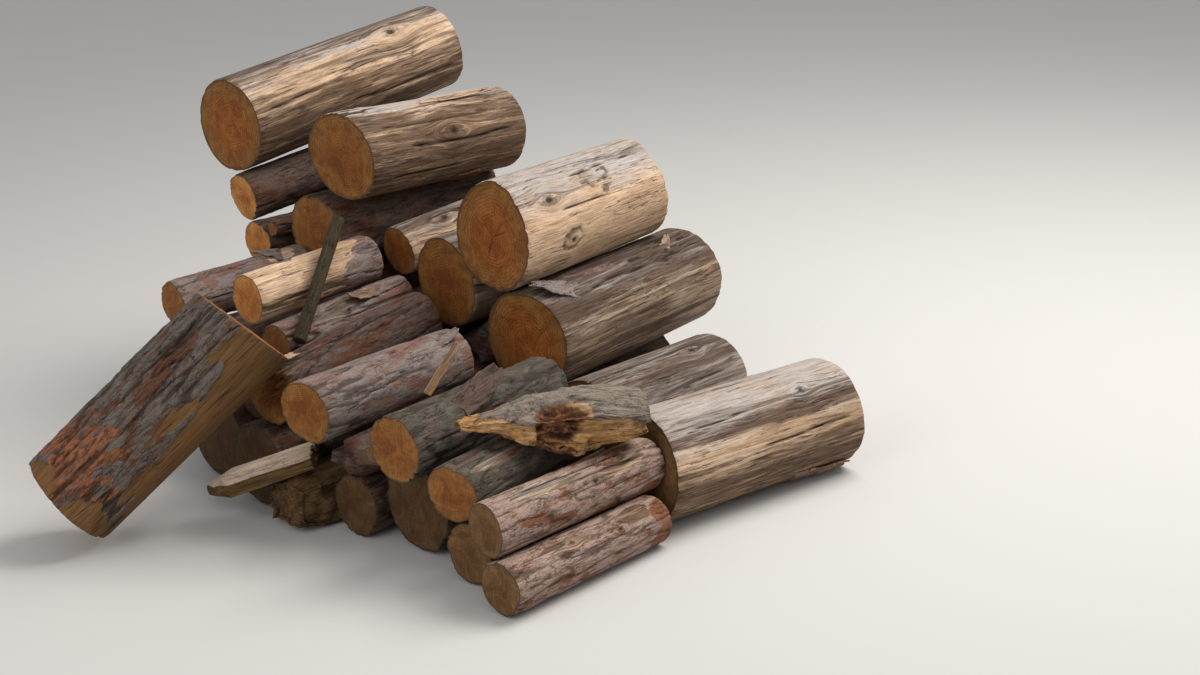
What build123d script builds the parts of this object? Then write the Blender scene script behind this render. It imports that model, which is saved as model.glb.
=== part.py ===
from build123d import *
import os
import numpy as np
from scipy.optimize import linprog

# A heap of short sawn logs in two rows, one row lying close behind the other.
# Millimetres. X runs to the right along the rows, Y runs along the logs away
# from the viewer, and Z is up. The finished heap stands with the middle of its
# box over the origin and its lowest logs on Z = 0.

# How closely the pieces lie, and how far each may roll, tilt and swing while it comes to rest
REST_GAP = 0.3
ROLL_ROOM = 12.0
DROP_ROOM = 400.0
TILT_ROOM = 2.0
SWING_ROOM = 1.5

# Diameters of the rear row
TOP_LOG_ACROSS = 208.0
SECOND_LOG_ACROSS = 196.0
UPPER_PROP_ACROSS = 110.0
LOWER_PROP_ACROSS = 104.0
PROP_WEDGE_ACROSS = 38.0
ORANGE_LOG_ACROSS = 176.0
KNOTTY_LOG_ACROSS = 111.0
MIDDLE_LOG_ACROSS = 197.0
BIG_PALE_ACROSS = 225.0
BIG_GREY_ACROSS = 225.0
LOW_GREY_ACROSS = 208.0
GROUND_LOG_ACROSS = 227.0

# Lengths of the rear row
TOP_LOG_LONG = 600.0
SECOND_LOG_LONG = 472.0
UPPER_PROP_LONG = 520.0
LOWER_PROP_LONG = 500.0
PROP_WEDGE_LONG = 330.0
ORANGE_LOG_LONG = 480.0
KNOTTY_LOG_LONG = 460.0
MIDDLE_LOG_LONG = 500.0
BIG_PALE_LONG = 458.0
BIG_GREY_LONG = 530.0
LOW_GREY_LONG = 410.0
GROUND_LOG_LONG = 493.0

# Diameters of the front row
BARK_LOG_ACROSS = 106.0
PINK_LOG_ACROSS = 108.0
TORN_BARK_ACROSS = 92.0
CHEWED_LOG_ACROSS = 126.0
ROSY_LOG_ACROSS = 129.0
LICHEN_LOG_ACROSS = 129.0
SLIM_LOG_ACROSS = 115.0
UPPER_FRONT_ACROSS = 106.0
LOWER_FRONT_ACROSS = 101.0
SECOND_GROUND_ACROSS = 122.0
WIDE_DIM_ACROSS = 178.0
DIM_LOG_ACROSS = 127.0
LEFT_DIM_ACROSS = 170.0

# Lengths of the front row
BARK_LOG_LONG = 330.0
PINK_LOG_LONG = 345.0
TORN_BARK_LONG = 380.0
CHEWED_LOG_LONG = 432.0
CHEWED_LOG_FAR = 537.0
ROSY_LOG_LONG = 388.0
LICHEN_LOG_LONG = 436.0
SLIM_LOG_LONG = 420.0
UPPER_FRONT_LONG = 440.0
LOWER_FRONT_LONG = 411.0
SECOND_GROUND_LONG = 400.0
WIDE_DIM_LONG = 430.0
DIM_LOG_LONG = 400.0
LEFT_DIM_LONG = 460.0

# The log that leans against the front row
LEANING_LOG_ACROSS = 217.0
LEANING_LOG_LONG = 482.0
LEANING_LOG_SLOPE = 39.0
LEANING_LOG_HEADING = 29.5
LEANING_FOOT_OUT = 378.0

# Hidden logs that carry the heap
INNER_LOG_LONG = 440.0
FRONT_INNER_LONG = 400.0
REAR_GROUND_ACROSS = 188.0
REAR_SECOND_ACROSS = 100.0
FRONT_SECOND_ACROSS = 100.0

# Split and broken wood
BROKEN_LOG_ACROSS = 150.0
BROKEN_LOG_LONG = 372.0
SPLIT_SLAB_LONG = 230.0
SPLIT_SLAB_WIDE = 100.0
SPLIT_SLAB_THICK = 36.0
ROTTEN_SPLIT_LONG = 300.0
ROTTEN_SPLIT_WIDE = 129.2
ROTTEN_SPLIT_THICK = 112.0
ROTTEN_SPLIT_FAR = 335.0
STAKE_ACROSS = 30.0
STAKE_LONG = 305.0
SPLINTER_LONG = 115.0
SPLINTER_WIDE = 22.0
SPLINTER_THICK = 7.0

# How finely an outline is worked out, and how many of its points are drawn
TURN_STEPS = 128
DRAWN_STEPS = 16
HIDDEN_STEPS = 16
RINGS = 15
SPLIT_STATIONS = 16
SPLIT_RINGS = 61
LEANING_RINGS = 75
SKIP_STEPS = 2
STRONG_TAPER = 0.04
ANGLES = np.arange(TURN_STEPS) * 2 * np.pi / TURN_STEPS

# How a piece is brought to rest: small moves in X, in Z, in tilt and in swing
SETTLE_ROUNDS = 22
FIRST_MOVES = np.array([8.0, 20.0, 1.5, 1.0])
SMALLEST_DROP = 0.1
SMALL_MOVE_SHARE = 0.3
LIFT_ROUNDS = 8
TRIAL_MOVES = np.array([0.01, 0.01, 0.002, 0.002])
LOOK_AROUND = 70.0
CLOSE_BY = 45.0
MOVED_FAR = 25.0
OVERLAP_PRICE = 20.0
LEFT_OVERLAP = 0.02


class Wood:
    """A piece of wood: outlines at stations along its centre line, and the place where it lies."""

    def __init__(self, name, stations, near, heading, pitch, swing=1.0, rings=RINGS):
        self.name = name
        self.along = np.array([s[0] for s in stations], float)
        self.shift = np.array([s[1] for s in stations], float)
        self.cut = np.array([s[2] for s in stations], float)
        self.radii = np.array([s[3] for s in stations], float)
        self.drawn = None
        self.swing = swing
        self.rings = rings
        self.half = self.along[-1] / 2
        self.heading = heading
        self.pitch = pitch
        self.middle = np.array(near, float) + self.half * self.axes()[1]

    def axes(self, heading=None, pitch=None):
        """The directions to the right of the piece, along it and up from it."""
        h = np.radians(self.heading if heading is None else heading)
        p = np.radians(self.pitch if pitch is None else pitch)
        right = np.array([np.cos(h), -np.sin(h), 0])
        away = np.array([np.sin(h) * np.cos(p), np.cos(h) * np.cos(p), np.sin(p)])
        return np.array([right, away, np.cross(right, away)])

    def ring(self, t):
        """Points of the outline at a share t of the way along, in the piece's own axes."""
        place = t * self.along[-1]
        i = min(np.searchsorted(self.along, place, side="right") - 1, len(self.along) - 2)
        u = (place - self.along[i]) / (self.along[i + 1] - self.along[i])
        return (1 - u) * self.station_points(i) + u * self.station_points(i + 1)

    def station_points(self, i):
        x = self.shift[i, 0] + self.radii[i] * np.cos(ANGLES)
        z = self.shift[i, 1] + self.radii[i] * np.sin(ANGLES)
        y = self.along[i] - self.half + x * self.cut[i, 0] + z * self.cut[i, 1]
        return np.stack([x, y, z], axis=1)

    def surface(self):
        """Points all over the bark side of the piece, in its own axes."""
        return np.concatenate([self.ring(t)[::SKIP_STEPS] for t in np.linspace(0, 1, self.rings)])

    def outside(self, p):
        """How far points in the piece's own axes are outside it, less than nothing when inside."""
        last = len(self.along) - 2
        base = self.along - self.half
        i = np.clip(np.searchsorted(base, p[:, 1]) - 1, 0, last)
        u = np.clip((p[:, 1] - base[i]) / (base[i + 1] - base[i]), 0, 1)
        for _ in range(3):
            shift = self.shift[i] * (1 - u[:, None]) + self.shift[i + 1] * u[:, None]
            dx = p[:, 0] - shift[:, 0]
            dz = p[:, 2] - shift[:, 1]
            turn = np.mod(np.arctan2(dz, dx), 2 * np.pi) * TURN_STEPS / (2 * np.pi)
            j = turn.astype(int) % TURN_STEPS
            k = (j + 1) % TURN_STEPS
            w = turn - turn.astype(int)
            r0 = self.radii[i, j] * (1 - w) + self.radii[i, k] * w
            r1 = self.radii[i + 1, j] * (1 - w) + self.radii[i + 1, k] * w
            c, s = np.cos(turn * 2 * np.pi / TURN_STEPS), np.sin(turn * 2 * np.pi / TURN_STEPS)
            x0, z0 = self.shift[i, 0] + r0 * c, self.shift[i, 1] + r0 * s
            x1, z1 = self.shift[i + 1, 0] + r1 * c, self.shift[i + 1, 1] + r1 * s
            y0 = base[i] + x0 * self.cut[i, 0] + z0 * self.cut[i, 1]
            y1 = base[i + 1] + x1 * self.cut[i + 1, 0] + z1 * self.cut[i + 1, 1]
            raw = (p[:, 1] - y0) / (y1 - y0)
            u = np.clip(raw, 0, 1)
        side = np.hypot(dx, dz) - (r0 * (1 - u) + r1 * u)
        ends = np.maximum(y0 - p[:, 1], p[:, 1] - y1)
        inner = (i > 0) & (raw < 0) | (i < last) & (raw > 1)
        return np.maximum(side, np.where(inner, -1e3, ends))

    def world(self, p, pose=None):
        x, z, pitch, heading = self.pose() if pose is None else pose
        return p @ self.axes(heading, pitch) + np.array([x, self.middle[1], z])

    def own(self, p, pose=None):
        x, z, pitch, heading = self.pose() if pose is None else pose
        return (p - np.array([x, self.middle[1], z])) @ self.axes(heading, pitch).T

    def pose(self):
        return np.array([self.middle[0], self.middle[2], self.pitch, self.heading])

    def take(self, pose):
        self.middle[0], self.middle[2], self.pitch, self.heading = pose


def clearances(piece, pose, pairs):
    """Every distance that has to stay open while the piece moves: to the ground and to its neighbours."""
    open_by = []
    for kind, other, points in pairs:
        if kind == "ground":
            open_by.append(piece.world(points, pose)[:, 2])
        elif kind == "mine":
            open_by.append(other.outside(other.own(piece.world(points, pose))) - REST_GAP)
        else:
            open_by.append(piece.outside(piece.own(points, pose)) - REST_GAP)
    return open_by


def neighbours(piece, heap, reach=LOOK_AROUND):
    """The pieces that lie near, with the points of each that could meet the other."""
    points = piece.surface()
    here = piece.world(points)
    pairs = [("ground", None, points[here[:, 2] < reach])]
    for other in heap:
        there = other.placed
        if np.any(here.min(0) > there.max(0) + reach) or np.any(there.min(0) > here.max(0) + reach):
            continue
        pairs.append(("mine", other, points[other.outside(other.own(here)) < reach]))
        pairs.append(("theirs", other, there[piece.outside(piece.own(there)) < reach]))
    return [pair for pair in pairs if len(pair[2])]


def closest(pairs, open_by, reach):
    """Only the points that are close enough to matter in the next small move."""
    kept = []
    for (kind, other, points), room in zip(pairs, open_by):
        near = room < reach
        if near.any():
            kept.append((kind, other, points[near]))
    return kept


def settle(piece, heap):
    """Lower the piece until it rests on the heap, letting it roll, tilt and swing a little."""
    start = piece.pose()
    room = np.array([ROLL_ROOM, DROP_ROOM, TILT_ROOM, SWING_ROOM])
    room = room * [piece.swing, 1.0, piece.swing, piece.swing]
    step = FIRST_MOVES.copy()
    pose = start.copy()
    pairs = neighbours(piece, heap)
    moved_since = 0.0
    for _ in range(SETTLE_ROUNDS):
        if moved_since > MOVED_FAR:
            pairs = neighbours(piece, heap)
            moved_since = 0.0
        near = closest(pairs, clearances(piece, pose, pairs), CLOSE_BY)
        base = np.concatenate(clearances(piece, pose, near)) if near else np.zeros(0)
        slopes = np.zeros((len(base), 5))
        slopes[:, 4] = 1.0
        for k in range(4):
            moved = pose.copy()
            moved[k] += TRIAL_MOVES[k]
            if near:
                slopes[:, k] = (np.concatenate(clearances(piece, moved, near)) - base) / TRIAL_MOVES[k]
        low = np.maximum(-step, start - room - pose)
        high = np.minimum(step, start + room - pose)
        limits = list(zip(low, np.maximum(high, low))) + [(0, None)]
        price = [0, 1.0, 0, 0, OVERLAP_PRICE]
        answer = linprog(price, A_ub=-slopes, b_ub=base, bounds=limits, method="highs")
        pose = pose + answer.x[:4]
        piece.take(pose)
        moved_since += np.hypot(answer.x[0], answer.x[1])
        if abs(answer.x[1]) < SMALL_MOVE_SHARE * step[1] and answer.x[4] < LEFT_OVERLAP:
            step = step / 2
        if step[1] < SMALLEST_DROP:
            break
    lift_clear(piece, pose, neighbours(piece, heap))
    piece.placed = piece.world(piece.surface())
    print(piece.name, "moved", (pose - start).round(1))
    heap.append(piece)


def lift_clear(piece, pose, pairs):
    """Raise the piece by whatever little overlap is left."""
    for _ in range(LIFT_ROUNDS):
        worst = np.concatenate(clearances(piece, pose, pairs)).min()
        if worst > -LEFT_OVERLAP:
            break
        pose[1] -= worst
        piece.take(pose)


def trunk_outline(across, seed, uneven=1.0, angles=ANGLES):
    """The radii of a trunk that is a little oval and lobed."""
    rng = np.random.default_rng(seed)
    oval, lobed, ripple = rng.uniform(0.008, 0.03), rng.uniform(0.006, 0.02), rng.uniform(0.002, 0.007)
    turns = rng.uniform(0, 2 * np.pi, 3)
    wave = oval * np.cos(2 * angles + turns[0]) + lobed * np.cos(3 * angles + turns[1])
    wave = wave + ripple * np.cos(5 * angles + turns[2])
    return across / 2 * (1 + uneven * wave)


def log(name, across, long, near, heading=0.0, pitch=0.0, taper=0.03, cuts=(0, 0, 0, 0), seed=1, uneven=1.0,
        swing=1.0, rings=RINGS):
    """A sawn log, a little thinner at the far end, with its saw cuts slightly off square."""
    outline = trunk_outline(across, seed, uneven)
    slants = np.tan(np.radians(cuts))
    stations = [(0, (0, 0), slants[:2], outline * (1 + taper / 2)),
                (long, (0, 0), slants[2:], outline * (1 - taper / 2))]
    if slants.any() and taper > STRONG_TAPER:
        stations.insert(1, (long / 2, (0, 0), (0, 0), outline))
    return Wood(name, stations, near, heading, pitch, swing=swing, rings=rings)


def front_log(name, across, long, spot, heading=0.0, pitch=0.0, **more):
    """A log of the front row: its far end stays at the spot's Y, so a longer log comes nearer."""
    x, far_y, z = spot
    return log(name, across, long, (x, far_y - long, z), heading, pitch, **more)


def hidden_log(name, across, long, near, seed, swing=1.0):
    """A plain log inside the heap, with straight sides between the points of its outline."""
    angles = np.arange(HIDDEN_STEPS) * 2 * np.pi / HIDDEN_STEPS
    radii = trunk_outline(across, seed, angles=angles)
    rim = np.stack([radii * np.cos(angles), radii * np.sin(angles)], axis=1)
    return split_wood(name, long, [(0, rim), (1, rim)], near, 0.0, 0.0, swing)


def corner_outline(corners):
    """The radii, at every angle, of a straight-sided outline given by its corners."""
    corners = np.array(corners, float)
    rays = np.stack([np.cos(ANGLES), np.sin(ANGLES)], axis=1)
    best = np.full(TURN_STEPS, np.inf)
    for a, b in zip(corners, np.roll(corners, -1, axis=0)):
        edge = b - a
        cross = rays[:, 0] * edge[1] - rays[:, 1] * edge[0]
        safe = np.where(abs(cross) < 1e-9, 1e-9, cross)
        reach = (a[0] * edge[1] - a[1] * edge[0]) / safe
        share = (a[0] * rays[:, 1] - a[1] * rays[:, 0]) / safe
        hit = (share >= -1e-6) & (share <= 1 + 1e-6) & (reach > 0)
        best = np.where(hit, np.minimum(best, reach), best)
    return best


def split_wood(name, long, sections, near, heading, pitch, swing=1.0):
    """Wood with straight-sided sections: shares along its length, each with the section's corners."""
    shares = np.array([share for share, corners in sections])
    rims = np.array([corners for share, corners in sections], float)
    stations = []
    for share in np.union1d(np.linspace(0, 1, SPLIT_STATIONS if len(shares) > 2 else 2), shares):
        i = min(np.searchsorted(shares, share, side="right") - 1, len(shares) - 2)
        u = (share - shares[i]) / (shares[i + 1] - shares[i])
        stations.append((share * long, (0, 0), (0, 0), corner_outline(rims[i] * (1 - u) + rims[i + 1] * u)))
    piece = Wood(name, stations, near, heading, pitch, swing=swing, rings=SPLIT_RINGS)
    piece.drawn = [(share * long, rim) for share, rim in zip(shares, rims)]
    return piece


def solid(piece):
    """The piece as a closed solid, ruled from station to station."""
    faces = []
    if piece.drawn:
        for along, rim in piece.drawn:
            corners = np.stack([rim[:, 0], np.full(len(rim), along - piece.half), rim[:, 1]], axis=1)
            points = [Vector(*p) for p in piece.world(corners)]
            faces.append(make_face(Polyline(*points, close=True)))
    else:
        for i in range(len(piece.along)):
            rim = piece.station_points(i)[::TURN_STEPS // DRAWN_STEPS]
            points = [Vector(*p) for p in piece.world(rim)]
            faces.append(make_face(Spline(*points, periodic=True)))
    return loft(faces, ruled=True)


def box_section(wide, thick, lean=0.0, ridge=0.0):
    """A split board's section: a flat board with a raised back."""
    w, t = wide / 2, thick / 2
    return [(w, -t), (w * 0.96, t * (1 - lean)), (w * 0.1, t + ridge), (-w, t * (1 - lean)), (-w * 0.9, -t)]


def rear_ground_logs(heap):
    """The rear row's logs on the ground: the big one in view, and the hidden ones beside it."""
    settle(log("ground_log", GROUND_LOG_ACROSS, GROUND_LOG_LONG, (438, 512, 115), 8.7, taper=0.017,
               cuts=(0, 4.6, 0, 0), seed=10, swing=0.1), heap)
    settle(log("low_grey_log", LOW_GREY_ACROSS, LOW_GREY_LONG, (177, 620, 104), -1.0, seed=9,
               swing=0.3), heap)
    r = REAR_GROUND_ACROSS
    for n, (x, y, d) in enumerate([(-66, 620, r), (-262, 630, r), (-452, 620, r - 6), (-650, 610, r - 4),
                                   (-845, 600, r - 16)]):
        settle(hidden_log(f"rear_hidden_ground_log_{n + 1}", d, INNER_LOG_LONG, (x, y, d / 2 + 1),
                          40 + n, 0.1), heap)


def rear_hidden_second_layer(heap):
    """Hidden logs in the hollows between the rear ground logs."""
    slim = REAR_SECOND_ACROSS
    for n, (x, y, z, d) in enumerate([(-160, 640, 214, slim + 12), (-357, 640, 238, slim + 52),
                                      (-551, 630, 262, slim + 100), (-750, 600, 245, slim + 100)]):
        settle(hidden_log(f"rear_hidden_second_log_{n + 1}", d, INNER_LOG_LONG, (x, y, z + 5), 50 + n), heap)


def front_ground_row(heap):
    """The front row's logs that lie on the ground."""
    settle(front_log("lower_front_log", LOWER_FRONT_ACROSS, LOWER_FRONT_LONG, (532, 453, 51), -1.4,
                     taper=0.06, cuts=(-2, 3, 1, 0), seed=21, swing=0.1), heap)
    settle(front_log("second_ground_log", SECOND_GROUND_ACROSS, SECOND_GROUND_LONG, (392, 495, 61), -2.0,
                     seed=22, swing=0.1), heap)
    settle(front_log("wide_dim_log", WIDE_DIM_ACROSS, WIDE_DIM_LONG, (200, 568, 90), 0, seed=23,
                     swing=0.1), heap)
    settle(front_log("dim_ground_log", DIM_LOG_ACROSS, DIM_LOG_LONG, (49, 508, 64), -2.0, seed=24,
                     swing=0.1), heap)
    settle(front_log("left_dim_log", LEFT_DIM_ACROSS, LEFT_DIM_LONG, (-236, 550, 86), -1.0, seed=25,
                     swing=0.1), heap)
    for n, (x, y, d) in enumerate([(-430, 530, 186), (-618, 600, 170)]):
        settle(hidden_log(f"front_hidden_ground_log_{n + 1}", d, FRONT_INNER_LONG,
                          (x, y - FRONT_INNER_LONG, d / 2 + 1), 60 + n, 0.1), heap)
    rotten_split(heap)


def front_hidden_second_layer(heap):
    """Hidden logs in the hollows of the front row."""
    slim = FRONT_SECOND_ACROSS
    for n, (x, y, z, d) in enumerate([(62, 480, 172, slim - 8), (-105, 565, 175, slim),
                                      (-335, 560, 200, slim + 10), (-525, 580, 225, slim + 60)]):
        settle(hidden_log(f"front_hidden_second_log_{n + 1}", d, FRONT_INNER_LONG,
                          (x, y - FRONT_INNER_LONG, z + 5), 70 + n), heap)


def front_upper_row(heap):
    """The front row's upper logs, from the right and low to the left and high."""
    settle(front_log("upper_front_log", UPPER_FRONT_ACROSS, UPPER_FRONT_LONG, (484, 498, 148), -4.0, -2.0,
                     taper=0.02, cuts=(-8, -2, 2, 0), seed=20), heap)
    settle(front_log("slim_log", SLIM_LOG_ACROSS, SLIM_LOG_LONG, (366, 500, 188), -10.0, 1.5, taper=0.04,
                     cuts=(3, -3, 0, 2), seed=18), heap)
    settle(front_log("lichen_log", LICHEN_LOG_ACROSS, LICHEN_LOG_LONG, (223, 496, 256), -4.0, 0.5,
                     taper=0.05, seed=16), heap)
    settle(front_log("rosy_log", ROSY_LOG_ACROSS, ROSY_LOG_LONG, (24, 426, 264), -2.3, 3.0, taper=0.04,
                     cuts=(6, -1, 0, 0), seed=15), heap)
    settle(front_log("chewed_end_log", CHEWED_LOG_ACROSS, CHEWED_LOG_LONG, (-223, CHEWED_LOG_FAR, 233),
                     0.7, 10.3, seed=14), heap)
    settle(front_log("torn_bark_log", TORN_BARK_ACROSS, TORN_BARK_LONG, (-312, 595, 300), -8.0, 4.0,
                     seed=29), heap)
    settle(front_log("bark_log", BARK_LOG_ACROSS, BARK_LOG_LONG, (-584, 496, 340), 3.2, 4.6, seed=11), heap)
    settle(front_log("pink_log", PINK_LOG_ACROSS, PINK_LOG_LONG, (-362, 540, 398), -3.0, -1.0,
                     cuts=(-5, 2, 0, 0), seed=12), heap)


def rear_upper_row(heap):
    """The rear row's upper logs, up to the two on top."""
    settle(log("big_grey_log", BIG_GREY_ACROSS, BIG_GREY_LONG, (41, 592, 275), -4.6, 2.7, taper=0.02, seed=8,
               swing=0.3), heap)
    settle(log("middle_log", MIDDLE_LOG_ACROSS, MIDDLE_LOG_LONG, (-226, 619, 352), 1.0, 1.4, seed=6,
               swing=0.4), heap)
    settle(log("big_pale_log", BIG_PALE_ACROSS, BIG_PALE_LONG, (-43, 588, 490), -6.0, 2.6, taper=0.053,
               cuts=(-6, 8, 0, 0), seed=7, uneven=1.6), heap)
    settle(log("lower_prop_log", LOWER_PROP_ACROSS, LOWER_PROP_LONG, (-731, 480, 395), 3.0, 2.0,
               seed=33), heap)
    settle(log("orange_log", ORANGE_LOG_ACROSS, ORANGE_LOG_LONG, (-540, 512, 450), 0.0, 1.0, seed=4,
               swing=0.4), heap)
    settle(log("prop_wedge_log", PROP_WEDGE_ACROSS, PROP_WEDGE_LONG, (-662, 480, 420), seed=34), heap)
    settle(log("knotty_log", KNOTTY_LOG_ACROSS, KNOTTY_LOG_LONG, (-366, 619, 408), -1.0, 7.0, seed=5), heap)
    settle(log("second_log", SECOND_LOG_ACROSS, SECOND_LOG_LONG, (-453, 525, 614), -1.3, -3.5, taper=0.034,
               cuts=(5, -7, 0, 0), seed=2), heap)
    settle(log("upper_prop_log", UPPER_PROP_ACROSS, UPPER_PROP_LONG, (-733, 480, 508), 3.0, 9.5,
               seed=32), heap)
    settle(log("top_log", TOP_LOG_ACROSS, TOP_LOG_LONG, (-756, 480, 664), 2.8, 11.0, taper=0.05,
               cuts=(8, 6, 0, 0), seed=3), heap)


def leaning_log(heap):
    """The thick bark log that stands on its low rim and leans on the near end of the chewed log."""
    r = LEANING_LOG_ACROSS / 2
    foot = CHEWED_LOG_FAR - CHEWED_LOG_LONG - LEANING_FOOT_OUT
    settle(log("leaning_bark_log", LEANING_LOG_ACROSS, LEANING_LOG_LONG, (-372, foot, r * 0.8),
               LEANING_LOG_HEADING, LEANING_LOG_SLOPE, taper=-0.03, cuts=(-3, 0, 8, -6), seed=13,
               swing=0.5, rings=LEANING_RINGS), heap)


def broken_log(heap):
    """The rotten half log: a thin torn tip, a round bark back, and a split face that bulges out."""
    r = BROKEN_LOG_ACROSS / 2
    tip = [(0.28, -0.12), (0.2, 0.08), (-0.05, 0.14), (-0.25, 0.1), (-0.32, -0.02), (-0.2, -0.14),
           (0.1, -0.18)]
    neck = [(0.55, -0.2), (0.45, 0.15), (0.1, 0.35), (-0.3, 0.32), (-0.5, 0.05), (-0.35, -0.25), (0.2, -0.3)]
    swell = [(0.9, -0.55), (0.8, 0.2), (0.25, 0.62), (-0.35, 0.6), (-0.7, 0.1), (-0.5, -0.35), (0.3, -0.6)]
    belly = [(1.0, -0.85), (0.95, 0.3), (0.35, 0.85), (-0.35, 0.8), (-0.75, 0.15), (-0.5, -0.4),
             (0.45, -0.95)]
    waist = [(0.9, -0.6), (0.95, 0.25), (0.4, 0.75), (-0.3, 0.75), (-0.7, 0.2), (-0.5, -0.45), (0.3, -0.65)]
    end = [(0.75, -0.35), (0.8, 0.2), (0.35, 0.6), (-0.3, 0.62), (-0.65, 0.15), (-0.5, -0.4), (0.2, -0.45)]
    shares = [(0, tip), (0.2, neck), (0.37, swell), (0.57, belly), (0.8, waist), (1, end)]
    sections = [(share, [(x * r, z * r) for x, z in corners]) for share, corners in shares]
    settle(split_wood("broken_rotten_log", BROKEN_LOG_LONG, sections, (298, 150, 296), 26.5, -3.6), heap)


def rotten_split(heap):
    """A rotten split lump on the ground in the front row."""
    m = box_section(ROTTEN_SPLIT_WIDE, ROTTEN_SPLIT_THICK, 0.2, 8)
    e = box_section(ROTTEN_SPLIT_WIDE * 0.8, ROTTEN_SPLIT_THICK * 0.8, 0.3, 5)
    settle(split_wood("rotten_split", ROTTEN_SPLIT_LONG, [(0, e), (0.2, m), (1, m)],
                      (-86, ROTTEN_SPLIT_FAR - ROTTEN_SPLIT_LONG, ROTTEN_SPLIT_THICK / 2 + 1), 0, 0,
                      swing=0.1), heap)


def split_slab(heap):
    """A split slab that sticks out of the front row to the left."""
    back = box_section(SPLIT_SLAB_WIDE, SPLIT_SLAB_THICK, 0.3, 4)
    tip = box_section(SPLIT_SLAB_WIDE * 0.35, SPLIT_SLAB_THICK * 0.5, 0.3, 2)
    settle(split_wood("split_slab", SPLIT_SLAB_LONG, [(0, tip), (0.22, back), (1, back)], (-226, -46, 96),
                      44, 16, swing=0.3), heap)


def small_sticks(heap):
    """The upright stake and the thin splinter, both stuck in the gaps of the front row."""
    r = STAKE_ACROSS / 2
    rim = [(r * np.cos(a), r * np.sin(a)) for a in np.radians(range(0, 360, 45))]
    settle(split_wood("stake", STAKE_LONG, [(0, rim), (1, rim)], (-257, 232, 322), -27, 42, swing=0.5), heap)
    flat = [(SPLINTER_WIDE / 2, -SPLINTER_THICK / 2), (SPLINTER_WIDE / 2, SPLINTER_THICK / 2),
            (-SPLINTER_WIDE / 2, SPLINTER_THICK / 2), (-SPLINTER_WIDE / 2, -SPLINTER_THICK / 2)]
    settle(split_wood("thin_splinter", SPLINTER_LONG, [(0, flat), (1, flat)], (182, 203, 318), 11, 50,
                      swing=0.5), heap)


def build():
    """Every piece of the heap, laid from the ground up."""
    heap = []
    rear_ground_logs(heap)
    front_ground_row(heap)
    rear_hidden_second_layer(heap)
    front_hidden_second_layer(heap)
    front_upper_row(heap)
    rear_upper_row(heap)
    leaning_log(heap)
    broken_log(heap)
    split_slab(heap)
    small_sticks(heap)
    return heap


heap = build()
solids = {piece.name: solid(piece) for piece in heap}
low = np.min([tuple(s.bounding_box().min) for s in solids.values()], axis=0)
high = np.max([tuple(s.bounding_box().max) for s in solids.values()], axis=0)
centre = Vector((low[0] + high[0]) / 2, (low[1] + high[1]) / 2, low[2])
print("heap centre", centre.X, centre.Y, centre.Z, "size", high - low)
os.makedirs("parts", exist_ok=True)
for name, shape in solids.items():
    export_step(shape.moved(Location(-centre)), f"parts/{name}.step")
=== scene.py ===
import math

import bpy
import bmesh
import numpy as np
from mathutils import Matrix, Vector
from mathutils.bvhtree import BVHTree


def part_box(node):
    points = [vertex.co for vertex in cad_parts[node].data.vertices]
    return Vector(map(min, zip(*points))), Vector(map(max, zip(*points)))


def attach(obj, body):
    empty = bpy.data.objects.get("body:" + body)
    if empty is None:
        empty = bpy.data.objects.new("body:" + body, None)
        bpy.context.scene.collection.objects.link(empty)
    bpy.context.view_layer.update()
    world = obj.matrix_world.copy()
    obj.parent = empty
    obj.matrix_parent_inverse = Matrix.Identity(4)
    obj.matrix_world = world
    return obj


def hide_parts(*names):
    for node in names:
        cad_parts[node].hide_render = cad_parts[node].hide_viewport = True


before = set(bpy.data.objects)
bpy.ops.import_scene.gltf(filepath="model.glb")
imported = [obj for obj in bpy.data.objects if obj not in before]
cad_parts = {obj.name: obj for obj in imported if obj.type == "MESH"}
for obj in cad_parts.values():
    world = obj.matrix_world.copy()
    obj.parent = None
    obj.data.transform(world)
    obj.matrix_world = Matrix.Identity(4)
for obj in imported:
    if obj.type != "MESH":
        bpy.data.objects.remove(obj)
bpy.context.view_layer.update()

bl_info = {
    "name": "Heap of sawn logs",
    "version": (1, 0, 0),
    "blender": (4, 5, 0),
    "location": "View3D > Sidebar > Logs",
    "description": "Gives every log of a heap its bark, grain, knots, cracks and sawn ends",
    "category": "Add Mesh",
}

# The view: from the ground log's middle to the camera, and which way the camera looks
CAMERA_FROM_GROUND_LOG = Vector((2.5773, -2.9542, 1.4873))
LOOK_ACROSS = Vector((-0.70711, 0.70711, 0.0))
LOOK_DOWN = math.radians(17.9)
CAMERA_ROLL = math.radians(-2.5)
PHOTO_WIDE = 1200
FOCAL_PIXELS = 2074.97
SENSOR_WIDE = 36.0

# How many points a log's skin has around it, along it and across an end
THICK = (200, 150, 18)
FINE = (150, 106, 14)
MEDIUM = (120, 82, 11)
DIMMER = (84, 54, 9)
COARSE = (56, 30, 6)
# The close rows of points beside each end, in metres from it, and the shares of the log's length between
# which the even rows lie
EDGE_STEPS = (0.0, 0.0015, 0.004)
ROWS_FROM, ROWS_TO = 0.012, 0.988
SHARP_ANGLE = math.radians(50)
SCRAP, QUICK_SCRAP = (42, 16), (20, 8)

# Reading a solid: how many groups of faces may be its ends, how alike their ways are, at which shares of a
# log its side is measured, and how near two points are to be one
END_GROUPS, SAME_WAY = 12, 0.9998
MEASURED_AT = (0.08, 0.5, 0.92)
WELD = 1e-5

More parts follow.
